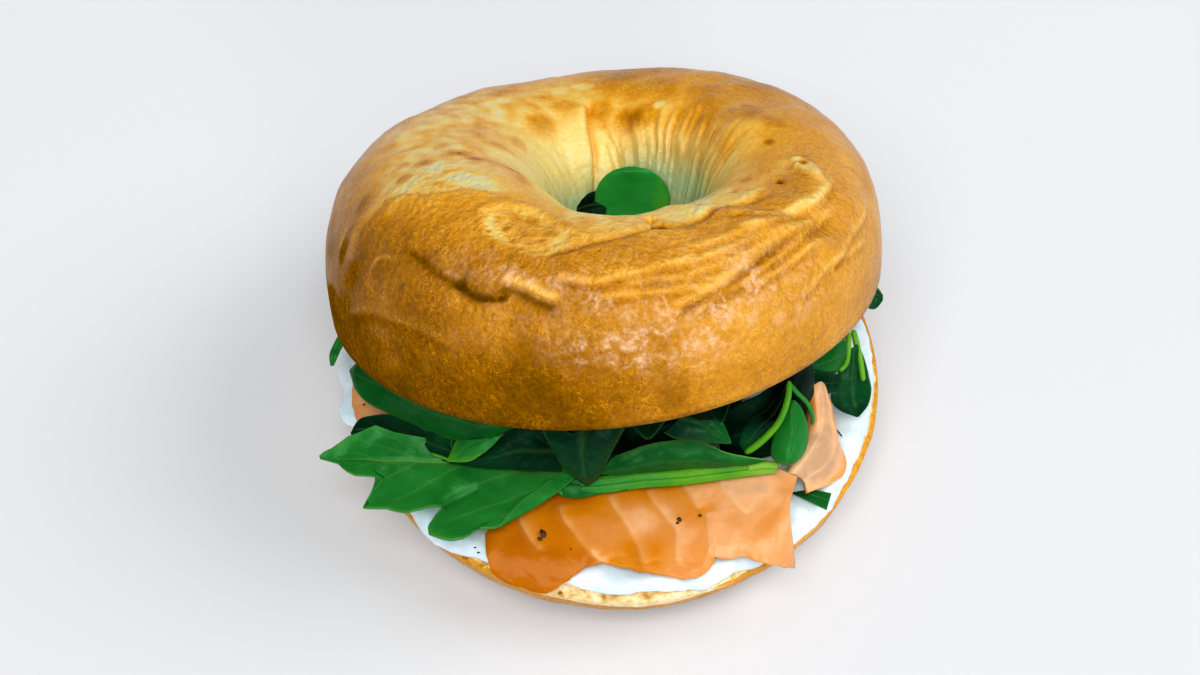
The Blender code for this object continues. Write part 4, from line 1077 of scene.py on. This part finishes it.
# the other leaves at the front lie between two edges, from the stalk to the tip
frontLeaves = {
    "long": {
        "tone": (0.4, 0.34), "camber": 1, "rim": 0.5,
        "low": [(-18.7, -28, 36), (-22, -28.3, 34), (-24.6, -28.9, 32), (-27.5, -28.5, 31), (-32, -27.1, 30),
                (-35.7, -25.4, 29), (-39.5, -23.1, 28.5), (-44.1, -20.2, 28), (-48.6, -17.8, 28),
                (-51.4, -14.6, 28.5), (-52.6, -10.6, 29)],
        "high": [(-18.7, -27, 38), (-24.4, -26, 39), (-29.9, -23.4, 38.4), (-35.4, -20, 37.4),
                 (-41.2, -15.2, 35.4), (-46, -11, 33.2), (-49.9, -9.4, 31.2), (-52.5, -10.5, 29)],
    },
    "fang": {
        "tone": (0.62, 0.78), "camber": 0.5,
        "low": [(-24.6, -28.9, 33), (-28.2, -28.4, 31.5), (-30.7, -27.5, 30), (-31.7, -29.7, 29.5),
                (-32.6, -31.7, 29)],
        "high": [(-21.5, -27.8, 33.5), (-23.5, -29.8, 32), (-26, -31.7, 31), (-28.5, -32.5, 30),
                 (-32.5, -31.7, 29)],
    },
    "lowDark": {
        "tone": (0.16, 0.1), "camber": 0.4,
        "high": [(-31.2, -27.5, 30), (-37.3, -23.9, 29), (-43.3, -20.5, 28), (-49, -20, 26.5),
                 (-50.8, -20.9, 26), (-52, -23.3, 25.5)],
        "low": [(-31.2, -31.3, 27), (-33.8, -30.1, 26.6), (-39.4, -28.1, 26), (-45.8, -25.8, 25.2),
                (-50.7, -24.2, 25), (-52, -23.4, 25.5)],
    },
    "midDark": {
        "tone": (0.05, 0.22), "camber": 1.2,
        "high": [(-10.1, -28.3, 36), (-15.5, -27.5, 35), (-19.2, -27.1, 34), (-22.8, -28.6, 31.5),
                 (-26.1, -30.4, 29.5), (-31.9, -31.1, 28)],
        "low": [(-10.2, -33.2, 27.6), (-13.8, -33, 27.6), (-18.2, -32.9, 27.6), (-22.9, -32.6, 27.6),
                (-27.6, -32, 27.6), (-31.9, -31.2, 28)],
    },
    "teal": {
        "tone": (0.1, 0.28), "camber": 1.4,
        "low": [(-14.5, -28.5, 37), (-13.3, -30.5, 35.5), (-12.4, -31.4, 34), (-10.1, -33.6, 30),
                (-7.3, -34.7, 27), (-5.6, -35.2, 25.5)],
        "high": [(2, -29.1, 38), (0.8, -30.4, 36), (-0.5, -31.7, 33.5), (-2.2, -33.4, 30), (-3.8, -34.7, 27),
                 (-5.4, -35.2, 25.5)],
    },
    "curl": {
        "tone": (0.42, 0.5), "camber": 0.9,
        "low": [(-12.3, -34.3, 23.2), (-10.2, -36, 23), (-6.9, -36.4, 23), (-3, -35.6, 23.2),
                (2.5, -34.8, 23.4)],
        "high": [(-12.4, -31, 24.5), (-10.8, -30.4, 25), (-7.9, -31.3, 25), (-4, -32.2, 25),
                 (2.5, -32.2, 25)],
    },
    "flap": {
        "tone": (0.7, 0.62), "camber": 0.4,
        "low": [(-10.2, -36.3, 23.8), (-12.1, -35.2, 24.3), (-13.7, -33.5, 24.9), (-14.5, -31.7, 25.3)],
        "high": [(-10.2, -36.2, 23.9), (-10.8, -34.1, 24.8), (-11.4, -32.2, 25.4), (-12.9, -30.7, 26)],
    },
    # its pale rim is a painted highlight along its top edge
    "wide": {
        "tone": (0.31, 0.45), "camber": 1.6, "rim": 0.9, "along": 80,
        "high": [(-3, -33.4, 28.5), (-1.5, -32.3, 29.6), (0.9, -31.3, 31), (3.9, -30.6, 32), (7.6, -30, 33),
                 (11.4, -29.7, 33.4), (15.7, -29.6, 33), (18.8, -30, 32), (21.5, -30.7, 30.8),
                 (25, -31.2, 29.6), (29.5, -31.2, 28.6)],
        "low": [(-3, -33.7, 27.5), (-0.7, -33.1, 26.5), (1.9, -32.6, 26), (5.2, -32.2, 25.8),
                (8.7, -31.9, 25.8), (13.1, -31.5, 25.8), (17.4, -31.1, 25.8), (21.3, -30.8, 26),
                (25.2, -30.5, 26.4), (29.5, -31, 28.3)],
    },
    "flatStem": {
        "tone": (0.66, 0.92), "camber": 0.9, "thickness": 0.9, "wave": 0.1, "along": 90, "lines": True,
        "low": [(-7, -35.4, 23.6), (-2.4, -35.3, 23.4), (5.2, -34.2, 23.5), (13.2, -33.6, 23.7),
                (21.4, -32.5, 24), (27.4, -31.7, 24.2), (31.5, -31.3, 24.4)],
        "high": [(-7, -33.6, 25), (-2.4, -33, 25.2), (5.2, -32.1, 25.4), (13.1, -31.6, 25.5),
                 (21.3, -30.7, 25.7), (27.4, -29.9, 25.8), (31.5, -29.9, 25.6)],
    },
    # darker towards its stalk under the lid: painted shade
    "hanging": {
        "tone": (0.08, 0.42), "camber": 0.8,
        "low": [(9.2, -29.8, 36.5), (11.3, -30.5, 35.5), (15.2, -30.5, 34.5), (19, -30.5, 34),
                (22, -30.4, 33.5)],
        "high": [(14.2, -25.3, 39.5), (17.1, -25.2, 39), (19.2, -26.2, 38), (20.7, -28.2, 36.5),
                 (22.1, -30.3, 33.5)],
    },
    # its tone falls below 0 towards the lid: painted shade, black and dull
    "bladeLeft": {
        "tone": (-0.25, 0.32), "camber": 1,
        "low": [(32.1, -20.6, 40), (30.8, -23, 38), (29, -24.5, 36), (26.4, -25, 34), (24.5, -26.3, 32),
                (23.9, -27.7, 30), (25.1, -29.1, 28.5)],
        "high": [(33.3, -20.6, 40), (33, -22.5, 38), (32.1, -24.3, 35), (30.8, -26.2, 33), (29.1, -27.2, 31),
                 (27.3, -28.1, 29.5), (25.2, -29.1, 28.5)],
    },
    "bladeRound": {
        "tone": (0.42, 0.66), "camber": 2.2,
        "low": [(34.1, -23.1, 37.5), (32.7, -24.1, 35.5), (31.6, -25.7, 33), (30.5, -27.5, 30),
                (30.4, -29.4, 27.5), (32.7, -30.5, 25.5)],
        "high": [(34.2, -23.1, 37.5), (35.5, -24.1, 36.5), (36.5, -25.3, 34.5), (37.2, -26.5, 32),
                 (37, -28.3, 29), (35.7, -29.7, 26.5), (32.8, -30.5, 25.5)],
    },
    "right": {
        "tone": (0.3, 0.12), "camber": 0.8,
        "low": [(45.9, -7.1, 31), (44.4, -10.4, 28), (43.4, -12.1, 26), (43.1, -14.4, 24),
                (44.9, -15.8, 22.5), (48.4, -16.8, 21.5)],
        "high": [(48.2, -5.4, 31), (49.6, -7.8, 28.5), (50.6, -10.2, 26), (51.2, -12, 24),
                 (50.6, -14.4, 22.5), (48.5, -16.8, 21.5)],
    },
    "rightUpper": {
        "tone": (0.3, 0.44), "camber": 0.8,
        "low": [(37.4, -13.7, 33), (40.3, -13.2, 31.5), (43.5, -11.7, 30), (45.1, -9.4, 29.5)],
        "high": [(36.1, -13.3, 36), (39.1, -11, 36), (42.2, -8.8, 36), (44.9, -6.6, 35)],
    },
    "rightLow": {
        "tone": (0.04, 0.1), "camber": 0.6,
        "low": [(35.7, -16.7, 33), (38.6, -16.4, 31), (41.3, -16.3, 29.5), (43.7, -15.1, 28)],
        "high": [(35.7, -14.5, 35), (38.5, -14.1, 34), (41.3, -13.3, 32), (44.1, -12.2, 30)],
    },
    "leftSmall": {
        "tone": (0.5, 0.5), "camber": 0.3,
        "low": [(-54.6, 1, 28), (-56.9, -1.8, 25), (-57.6, -3.8, 24), (-57.4, -5.6, 23)],
        "high": [(-53, -0.2, 28), (-54.9, -1.8, 25), (-55.9, -3.8, 24), (-56.8, -5.6, 23)],
    },
    "rightTip": {
        "tone": (0.12, 0.3), "camber": 0.8,
        "low": [(46, 9, 25.5), (50, 8, 25.5), (53, 7.4, 24.6), (54.9, 9.6, 24.4)],
        "high": [(46, 17, 26), (50, 15.6, 26), (53.4, 13.2, 25.2), (55, 10.6, 24.6)],
    },
    "holeLow": {
        "tone": (0.02, 0.08), "camber": 0.8, "inHole": True,
        "low": [(-10, 11.5, 46.5), (-6.5, 12.5, 47), (-2, 13, 47)],
        "high": [(-9, 16, 48), (-5, 18.2, 49), (-1, 19, 49.4)],
    },
    "hole": {
        "tone": (0.62, 0.66), "camber": 0.9, "inHole": True, "along": 90, "veins": 0, "dent": 0, "rim": 0,
        "wave": 0.1,
        "low": [(3, 2, 40), (-1.2, 9, 43), (-3.5, 14, 47), (-4, 16.6, 49.8), (-3, 18.4, 52.4),
                (-0.8, 19.4, 54.4), (2.9, 19.9, 55.4)],
        "high": [(3.4, 2, 40), (7.6, 8, 43), (10, 14, 47), (10.8, 16.6, 49.8), (9.6, 18.4, 52.4),
                 (7.2, 19.4, 54.4), (3.3, 19.9, 55.4)],
    },
    # the gap leaves are near-black sheets of painted shade filling the gap under the lid
    "gapLeft": {
        "tone": (-0.05, 0.08), "camber": 0.8, "veins": 0, "rim": 0,
        "low": [(20.5, -28.9, 27), (24, -28, 27.6), (28.5, -26.4, 28), (31.5, -24.6, 28.4)],
        "high": [(19, -25.5, 34.5), (23, -23.6, 36.5), (27.5, -22, 37.5), (31.5, -19.5, 38.5)],
    },
    "gapRight": {
        "tone": (-0.08, 0.08), "camber": 0.8, "veins": 0, "rim": 0,
        "low": [(29.5, -25.4, 25.6), (32.5, -24.6, 26), (35.5, -22, 26.6), (38.2, -18.5, 27.6)],
        "high": [(30.5, -21.5, 40), (33, -19.5, 40.5), (35.8, -17, 40), (38, -14.6, 39)],
    },
    "gapMiddle": {
        "tone": (0.02, 0.14), "camber": 0.8, "veins": 0, "rim": 0,
        "low": [(-1, -29.5, 28), (4, -29, 28.5), (9, -28.5, 29), (14, -27.5, 30)],
        "high": [(0, -26, 37), (5, -24.5, 38.5), (10, -23.5, 39.5), (15, -22.5, 40)],
    },
    "gapStem": {
        "tone": (-0.04, 0.1), "camber": 0.8, "veins": 0, "rim": 0,
        "low": [(20, -29.6, 25), (24.5, -29.2, 24.8), (29, -28.2, 24.8), (33.5, -27, 25)],
        "high": [(20.5, -27, 32), (24.5, -26, 32.5), (29, -25, 32.5), (33, -24, 32)],
    },
}
# the piece of leaf that lies alone on the cheese
looseLeaf = {"low": [(34.8, -33.5, 19.6), (37.5, -35.1, 19.7), (41.3, -37.2, 19.6)],
             "high": [(34.8, -33.3, 19.7), (38.6, -32.9, 19.9), (42.4, -33.6, 19.8)],
             "tone": (0.10, 0.44), "camber": 0.5, "wave": 0.1}
# bare stalks: path, radius and tone
stalks = [
    ([(25, -29.7, 28.4), (28, -28.4, 30.6), (30.6, -26.8, 33.1), (32.1, -25.4, 35.6), (33.1, -23, 38.2),
     (33.3, -20.5, 40.5)], 0.68, 0.84),
    ([(33.3, -20.9, 40), (34.9, -22.1, 38.4), (36.8, -22.8, 36.2), (38.1, -23.9, 33.6), (38.3, -24.7, 31)],
     0.45, 0.66),
    ([(47.4, -3, 32.2), (48.3, -6.1, 30.3), (48.9, -8.9, 28.9), (49.4, -11.9, 27)], 0.62, 0.9),
    ([(46.4, -3.9, 32.6), (46.2, -7.6, 31.8), (45.8, -9.9, 30.4), (44.4, -11.2, 29.6)], 0.55, 0.88),
    ([(-11.6, -31.5, 26.4), (-21.1, -31.8, 27), (-29.8, -31.2, 27.5), (-36, -28.9, 27.4)], 0.34, 0.8),
    ([(25.6, -30.9, 25.6), (28.4, -30.7, 25.9), (31.8, -30.6, 25.6)], 0.85, 0.97),
]
stalkShape = {"along": 48, "across": 16}
# leaves round the rest of the heap: the turn of the tip, how far out it ends, and the share of the height
# from the salmon to the lid where it starts and where it ends
sideLeaves = [
    (-142, 40, 0.72, 0.6), (-118, 37, 0.8, 0.82), (-92, 36, 0.74, 0.72), (-66, 36, 0.84, 0.8),
    (-40, 38, 0.74, 0.66), (-12, 46, 0.8, 0.55), (14, 50, 0.55, 0.2), (34, 47, 0.75, 0.52),
    (56, 49, 0.55, 0.25), (76, 46, 0.75, 0.6), (98, 49, 0.55, 0.3), (118, 46, 0.75, 0.55),
    (138, 50, 0.55, 0.25), (158, 48, 0.75, 0.5), (176, 52, 0.5, 0.22), (196, 49, 0.8, 0.62),
    (-152, 40, 0.5, 0.36), (-128, 36, 0.62, 0.5), (-104, 35, 0.56, 0.54), (-80, 35, 0.62, 0.5),
    (-56, 36, 0.6, 0.48), (-24, 41, 0.56, 0.34), (4, 45, 0.66, 0.44), (-170, 46, 0.62, 0.44),
]
# between the dark turns the leaves are painted dark: painted shade under the lid
sideLook = {"camber": -1.2, "along": 36, "across": 14, "start": 18, "bend": 24, "width": (4.6, 7.0),
            "tilt": 0.5, "darkTurns": (-160, -20)}
coreShape = {"segments": 96, "rings": 64, "radius": 27.0, "swell": 5.0, "lidGap": 1.4, "dents": 1.2}
layerTops = {"cheese": 18.55, "salmon": 21.4, "core": 22.45}
# the turns between which the leaves lie on salmon
salmonTurns = [(-181, -140), (-128, -46), (32, 140), (157, 181)]


def lidUnderside(x, y):
    # the height of the lid's cut face over a place of the plan
    facing = lidTurn @ Vector((0.0, 0.0, 1.0))
    cx, cy, cz = lidShape["centre"]
    return cz - (facing.x * (x - cx) + facing.y * (y - cy)) / facing.z


def keptClear(point, inHole):
    # over the salmon or the cheese that the leaf lies on, and under the lid
    angle = math.degrees(math.atan2(point.y, point.x))
    onSalmon = any(low < angle < high for low, high in salmonTurns)
    floor = layerTops["salmon"] if onSalmon else layerTops["cheese"]
    if point.xy.length < leafPlace["baseReach"]:
        point.z = max(point.z, floor + leafPlace["floorGap"])
    if not inHole:
        point.z = min(point.z, lidUnderside(point.x, point.y) - leafPlace["lidGap"])
    return tuple(point)


def paintLeaf(piece, u, across, leaf):
    # the midrib and the side veins are pale, and so is the thin edge, partly a painted highlight along it
    midrib = hump(across, 0.05 + 0.05 * (1 - u))
    dark, light = leaf["tone"]
    wander = 0.9 * noiseAt(np.stack([3 * u, 2 * across, 0 * u], axis=-1), 1.0, dark * 9)
    out = np.abs(across)
    side = np.clip(np.sin(fullTurn * leaf["sideVeins"] * (u - 0.24 * out) + wander), 0, 1) ** 20
    side *= between(out, 0.0, 0.15) * (1 - between(out, 0.6, 0.95))
    vein = leaf["veins"] * (0.9 * midrib + 0.45 * side) + leaf["rim"] * hump(out - 1, 0.05)
    if leaf["lines"]:
        vein = 0.30 * np.clip(np.sin(16 * across), 0, 1) ** 3
    storeValues(piece, vein=np.clip(vein, 0, 1), tone=dark + (light - dark) * u + 0.05 * out)


def makeLeaf(name, leaf, seed):
    # a blade between its two edges, cambered towards the sky
    leaf = {**leafLook, **leaf}
    piece, u, v = addGrid(name, leaf["along"], leaf["across"])
    low, high = vectors(leaf["low"]), vectors(leaf["high"])
    u = 0.006 + 0.988 * u
    lowEdge, highEdge = (np.array([pathPoint(edge, share) for share in u]) for edge in (low, high))

    def middle(share):
        return pathPoint(low, share) + pathPoint(high, share)

    ahead = np.array([middle(min(1, share + 0.02)) - middle(max(0, share - 0.02)) for share in u])
    facing = np.cross(highEdge - lowEdge, ahead)
    facing /= np.linalg.norm(facing, axis=1, keepdims=True) + 1e-9
    facing *= np.sign(facing @ np.array([0.0, -0.5, 0.86]) + 1e-9)[:, None]
    across = 2 * v - 1
    width = np.linalg.norm(highEdge - lowEdge, axis=1)
    bulge = leaf["camber"] * (1 - across ** 2) * np.minimum(1.0, width / 6)
    bulge -= leaf["dent"] * hump(across, 0.08) * np.minimum(1.0, width / 4)
    points = lowEdge + (highEdge - lowEdge) * v[:, None]
    bulge += leaf["wave"] * lumpsAt(points, (1.0, 4.5, seed), (0.35, 1.8, seed + 0.5))
    points = points + facing * bulge[:, None]
    writePoints(piece, [keptClear(Vector(point), leaf["inHole"]) for point in points])
    paintLeaf(piece, u, across, leaf)
    thicken(piece, leaf["thickness"])
    return piece


def edgeReach(leaf, share, otherSide):
    outline = leaf["other" if otherSide else "edge"]
    place = share * (len(outline) - 1)
    i = min(int(place), len(outline) - 2)
    t = place - i
    return [a * (1 - t) + b * t for a, b in zip(outline[i], outline[i + 1])]


def ribPoint(leaf, spine, share, across):
    edgeShare, out = edgeReach(leaf, share, across < 0)
    here = share + (edgeShare - share) * abs(across)
    ahead = pathPoint(spine, min(1.0, here + 0.03)) - pathPoint(spine, max(0.0, here - 0.03))
    ahead.normalize()
    side = Vector(leaf["side"])
    side = (side - ahead * side.dot(ahead)).normalized()
    facing = ahead.cross(side)
    if facing.z < 0:
        facing = -facing
    curl = leaf["curl"]
    flat = math.sin(curl * abs(across)) / curl * math.copysign(out, across)
    rise = (1 - math.cos(curl * abs(across))) / curl * out
    return pathPoint(spine, here) + side * flat + facing * rise


def makeLobedLeaf():
    leaf = {**leafLook, **lobedLeaf}
    piece, u, v = addGrid("lobed", leaf["along"], leaf["across"])
    spine = vectors(leaf["spine"])
    across = 2 * v - 1
    points = np.array([tuple(ribPoint(leaf, spine, 0.01 + 0.98 * a, b)) for a, b in zip(u, across)])
    points[:, 2] += lumpsAt(points, (0.75, 7.0, 51), (0.20, 2.6, 52))
    # the blade dips along the gap between its two lower lobes
    distance, _, fade = offPath(points, lobedNotch)
    points[:, 2] -= 0.5 * fade * hump(distance, 1.0) + 0.25 * hump(across, 0.05)
    writePoints(piece, [keptClear(Vector(point), leaf["inHole"]) for point in points])
    paintLeaf(piece, u, across, leaf)
    thicken(piece, leaf["thickness"])
    return piece


def makeStalk(name, path, radius, tone):
    # a tube with its ends drawn together
    piece, u, v = addGrid(name, stalkShape["along"], stalkShape["across"])
    spine = vectors(path)
    points = []
    for a, b in zip(u, v):
        here = pathPoint(spine, a)
        ahead = (pathPoint(spine, min(1, a + 0.02)) - pathPoint(spine, max(0, a - 0.02))).normalized()
        side = ahead.cross(Vector((0.0, 0.0, 1.0))).normalized()
        girth = radius * max(0.0, 1 - abs(2 * a - 1) ** 14) ** 0.5 * (1.1 - 0.2 * a)
        off = side * math.cos(fullTurn * b) + ahead.cross(side) * math.sin(fullTurn * b)
        points.append(here + off * girth)
    writePoints(piece, points)
    storeValues(piece, vein=0.25 * np.clip(np.sin(5 * fullTurn * v), 0, 1), tone=tone)
    selectOnly(piece)
    bpy.ops.object.mode_set(mode="EDIT")
    bpy.ops.mesh.select_all(action="SELECT")
    bpy.ops.mesh.remove_doubles(threshold=0.000001)
    bpy.ops.mesh.normals_make_consistent(inside=False)
    bpy.ops.object.mode_set(mode="OBJECT")
    return piece


def roundHeap():
    # the leaves round the heap, each turned and bent a little differently
    draw = random.Random(7)
    look = sideLook
    leaves = {}
    for number, (turn, reach, start, end) in enumerate(sideLeaves):
        swing = math.radians(draw.uniform(-look["bend"], look["bend"]))
        width = draw.uniform(*look["width"])
        low, high = [], []
        tilt = draw.uniform(-look["tilt"], look["tilt"])
        for share in (0.0, 0.2, 0.4, 0.6, 0.8, 0.93, 1.0):
            radius = look["start"] + (reach - look["start"]) * share
            bearing = math.radians(turn) + swing * (1 - share)
            x, y = radius * math.cos(bearing), radius * math.sin(bearing)
            level = start + (end - start) * share + 0.06 * math.sin(math.pi * share)
            z = layerTops["core"] + (lidUnderside(x, y) - layerTops["core"]) * level
            half = width * max(0.02, math.sin(math.pi * min(1.0, 0.12 + 0.88 * share) ** 0.8)) ** 0.7
            sideX, sideY = -math.sin(bearing) * half, math.cos(bearing) * half
            low.append((x - sideX, y - sideY, z - tilt * half))
            high.append((x + sideX, y + sideY, z + tilt * half))
        front = look["darkTurns"][0] < turn < look["darkTurns"][1]
        tone = 0.04 + 0.08 * ((number * 7) % 5) / 5 if front else 0.12 + 0.5 * ((number * 7) % 11) / 11
        leaves["side%d" % number] = {
            "low": low, "high": high, "tone": (tone, tone + 0.08), "camber": look["camber"],
            "along": look["along"], "across": look["across"], "veins": 0.05 if front else 0.3,
            "rim": 0.0 if front else 0.2}
    return leaves


def makeCore():
    # the heap's hidden middle, near-black green: painted shade seen through the gaps and the hole
    shape = coreShape
    core = addShape(bpy.ops.mesh.primitive_uv_sphere_add, "rocketCore", segments=shape["segments"],
                    ring_count=shape["rings"], radius=1.0)
    across, deep, tall = readVectors(core).T
    turn = np.arctan2(deep, across)
    radius = shape["radius"] + shape["swell"] * nearTurn(turn, -44, 0.45)
    radius *= np.hypot(across, deep) ** 0.35
    radius *= 1 + 0.05 * np.sin(5 * turn) + 0.03 * np.sin(17 * turn + 6 * tall)
    x, y = radius * np.cos(turn), radius * np.sin(turn)
    foot = layerTops["core"] + 0.2
    share = np.clip(0.5 + 0.5 * np.sign(tall) * np.abs(tall) ** 0.6, 0, 1)
    z = foot + (lidUnderside(x, y) - shape["lidGap"] - foot) * share
    placed = np.stack([x, y, z], axis=-1)
    placed[:, 2] -= shape["dents"] * np.clip(noiseAt(placed, 5.0, 40), 0, 1) * share
    writePoints(core, placed)
    storeValues(core, vein=0.1 * np.clip(noiseAt(placed, 3.0, 41), 0, 1),
                tone=0.02 + 0.08 * noiseAt(placed, 6.0, 42))
    finishPiece(core, greenFinish, "rocket")


def makeRocket():
    front = [makeLobedLeaf()]
    front += [makeLeaf(name, leaf, 60 + k) for k, (name, leaf) in enumerate(frontLeaves.items())]
    finishPiece(joinAll(front, "rocketLeaves"), greenFinish, "rocket", "rocket_salad")
    bare = [makeStalk("stalk%d" % k, *stalk) for k, stalk in enumerate(stalks)]
    finishPiece(joinAll(bare, "rocketStalks"), greenFinish, "rocket")
    sides = [makeLeaf(name, leaf, 90 + k) for k, (name, leaf) in enumerate(roundHeap().items())]
    finishPiece(joinAll(sides, "rocketHeap"), greenFinish, "rocket")
    finishPiece(makeLeaf("rocketLoose", looseLeaf, 120), greenFinish, "rocket", "rocket_leaf")


makeCore()
makeRocket()

# ---- herb specks and crumbs ----

# bits of herb on the salmon and the cheese: place, size and length
specks = [
    (-14, -43.9, 22.3, 0.55, 1.8), (-14.6, -45, 22.1, 0.4, 1.3), (12.4, -41, 22.6, 0.4, 1.4),
    (12, -41.7, 22.5, 0.3, 1.1), (16.4, -40.1, 22.6, 0.32, 1.1), (25.5, -37.2, 22.9, 0.36, 1.5),
    (-26.5, -46.2, 18.9, 0.3, 0.7), (-27.2, -45.1, 18.9, 0.26, 0.6), (-8.6, -46.9, 21.6, 0.22, 0.6),
    (-7.6, -50, 18.2, 0.3, 1), (23.5, -46.8, 20.6, 0.26, 0.7), (-50.4, -13.5, 20.9, 0.25, 0.7),
]
crumbBits = {"count": 90, "turns": (-150, -20), "fromRim": (0.4, 4.2), "size": (0.20, 0.55),
             "length": (0.8, 1.5), "bake": (0.2, 0.3, 0.45, 0.6, 0.78)}
# the strand of herb at the right, given as the stalks are
herbStrand = ([(42.6, -16.6, 21.0), (43.4, -17.6, 20.4), (44.2, -18.6, 19.8), (45.4, -19.9, 19.0)], 0.17, 0.0)


def addBit(name, place, size, length, draw):
    piece = addShape(bpy.ops.mesh.primitive_ico_sphere_add, name, subdivisions=2, radius=size)
    lean = draw.uniform(0, math.pi)
    points = readVectors(piece) * np.array([length, 1.0, 0.6])
    points = points * (1 + 0.35 * noiseAt(points, size, draw.uniform(0, 50)))[:, None]
    writePoints(piece, points @ np.array(Matrix.Rotation(lean, 3, "Z")).T + np.array(place))
    return piece


def makeBits():
    draw = random.Random(5)
    herbs = []
    for k, (*place, size, length) in enumerate(specks):
        herbs.append(addBit("herb%d" % k, place, size, length, draw))
    finishPiece(joinAll(herbs, "herbSpecks"), speckFinish, "rocket")
    crumbs = []
    for k in range(crumbBits["count"]):
        turn = math.radians(draw.uniform(*crumbBits["turns"]))
        fromRim = draw.uniform(*crumbBits["fromRim"])
        radius = float(baseRim(np.array(turn))) - fromRim
        size = draw.uniform(*crumbBits["size"])
        place = (radius * math.cos(turn), radius * math.sin(turn), float(cutHeight(fromRim)) + 0.35 * size)
        crumbs.append(addBit("crumb%d" % k, place, size, draw.uniform(*crumbBits["length"]), draw))
        storeValues(crumbs[-1], bake=draw.choice(crumbBits["bake"]), crumb=0.0, pore=0.0, skin=1.0, sheen=0.0)
    finishPiece(joinAll(crumbs, "breadCrumbs"), crustFinish, "crust")
    finishPiece(makeStalk("herbStrand", *herbStrand), greenFinish, "rocket")


makeBits()

# ---- studio ----

# each light has a place and a size in metres and a power in watts, and they point at the aim
studio = {
    # the floor's glow is light painted into it, lifting the shadows on it
    "floor": tint(208, 210, 214), "floorSize": 8.0, "roughness": 0.8, "gloss": 0.1, "glow": 0.11,
    "world": 0.15, "aim": (0.0, 0.0, 0.03),
    "lights": {"keyLight": ((2.1, 0.1, 2.5), 1.9, 45.0), "fillLight": ((-0.35, -1.75, 3.4), 2.2, 88.0),
               "lowLight": ((0.75, -2.5, 0.85), 0.6, 13.0)},
}


def addSoftbox(name, place, size, power):
    turned = (Vector(studio["aim"]) - Vector(place)).to_track_quat("-Z", "Y").to_euler()
    bpy.ops.object.light_add(type="AREA", location=place, rotation=turned)
    light = bpy.context.active_object
    light.name = name
    light.data.size = size
    light.data.energy = power


def makeStudio():
    floor = addShape(bpy.ops.mesh.primitive_plane_add, "studioFloor", size=studio["floorSize"])
    white = (1.0, 1.0, 1.0, 1.0)
    finish, tree, shader, _ = newFinish("paleFloor")
    setInputs(tree, shader, {"Base Color": studio["floor"], "Emission Color": white,
                             "Roughness": studio["roughness"], "Emission Strength": studio["glow"],
                             "Specular IOR Level": studio["gloss"]})
    floor.data.materials.append(finish)
    world = bpy.data.worlds.new("studioWorld")
    world.use_nodes = True
    background = world.node_tree.nodes["Background"]
    setInputs(world.node_tree, background, {"Color": white, "Strength": studio["world"]})
    scene = bpy.context.scene
    scene.world = world
    for name, (place, size, power) in studio["lights"].items():
        addSoftbox(name, place, size, power)
    scene.view_settings.view_transform = "Standard"
    scene.view_settings.look = "Medium High Contrast"
    print("studio ready")


makeStudio()
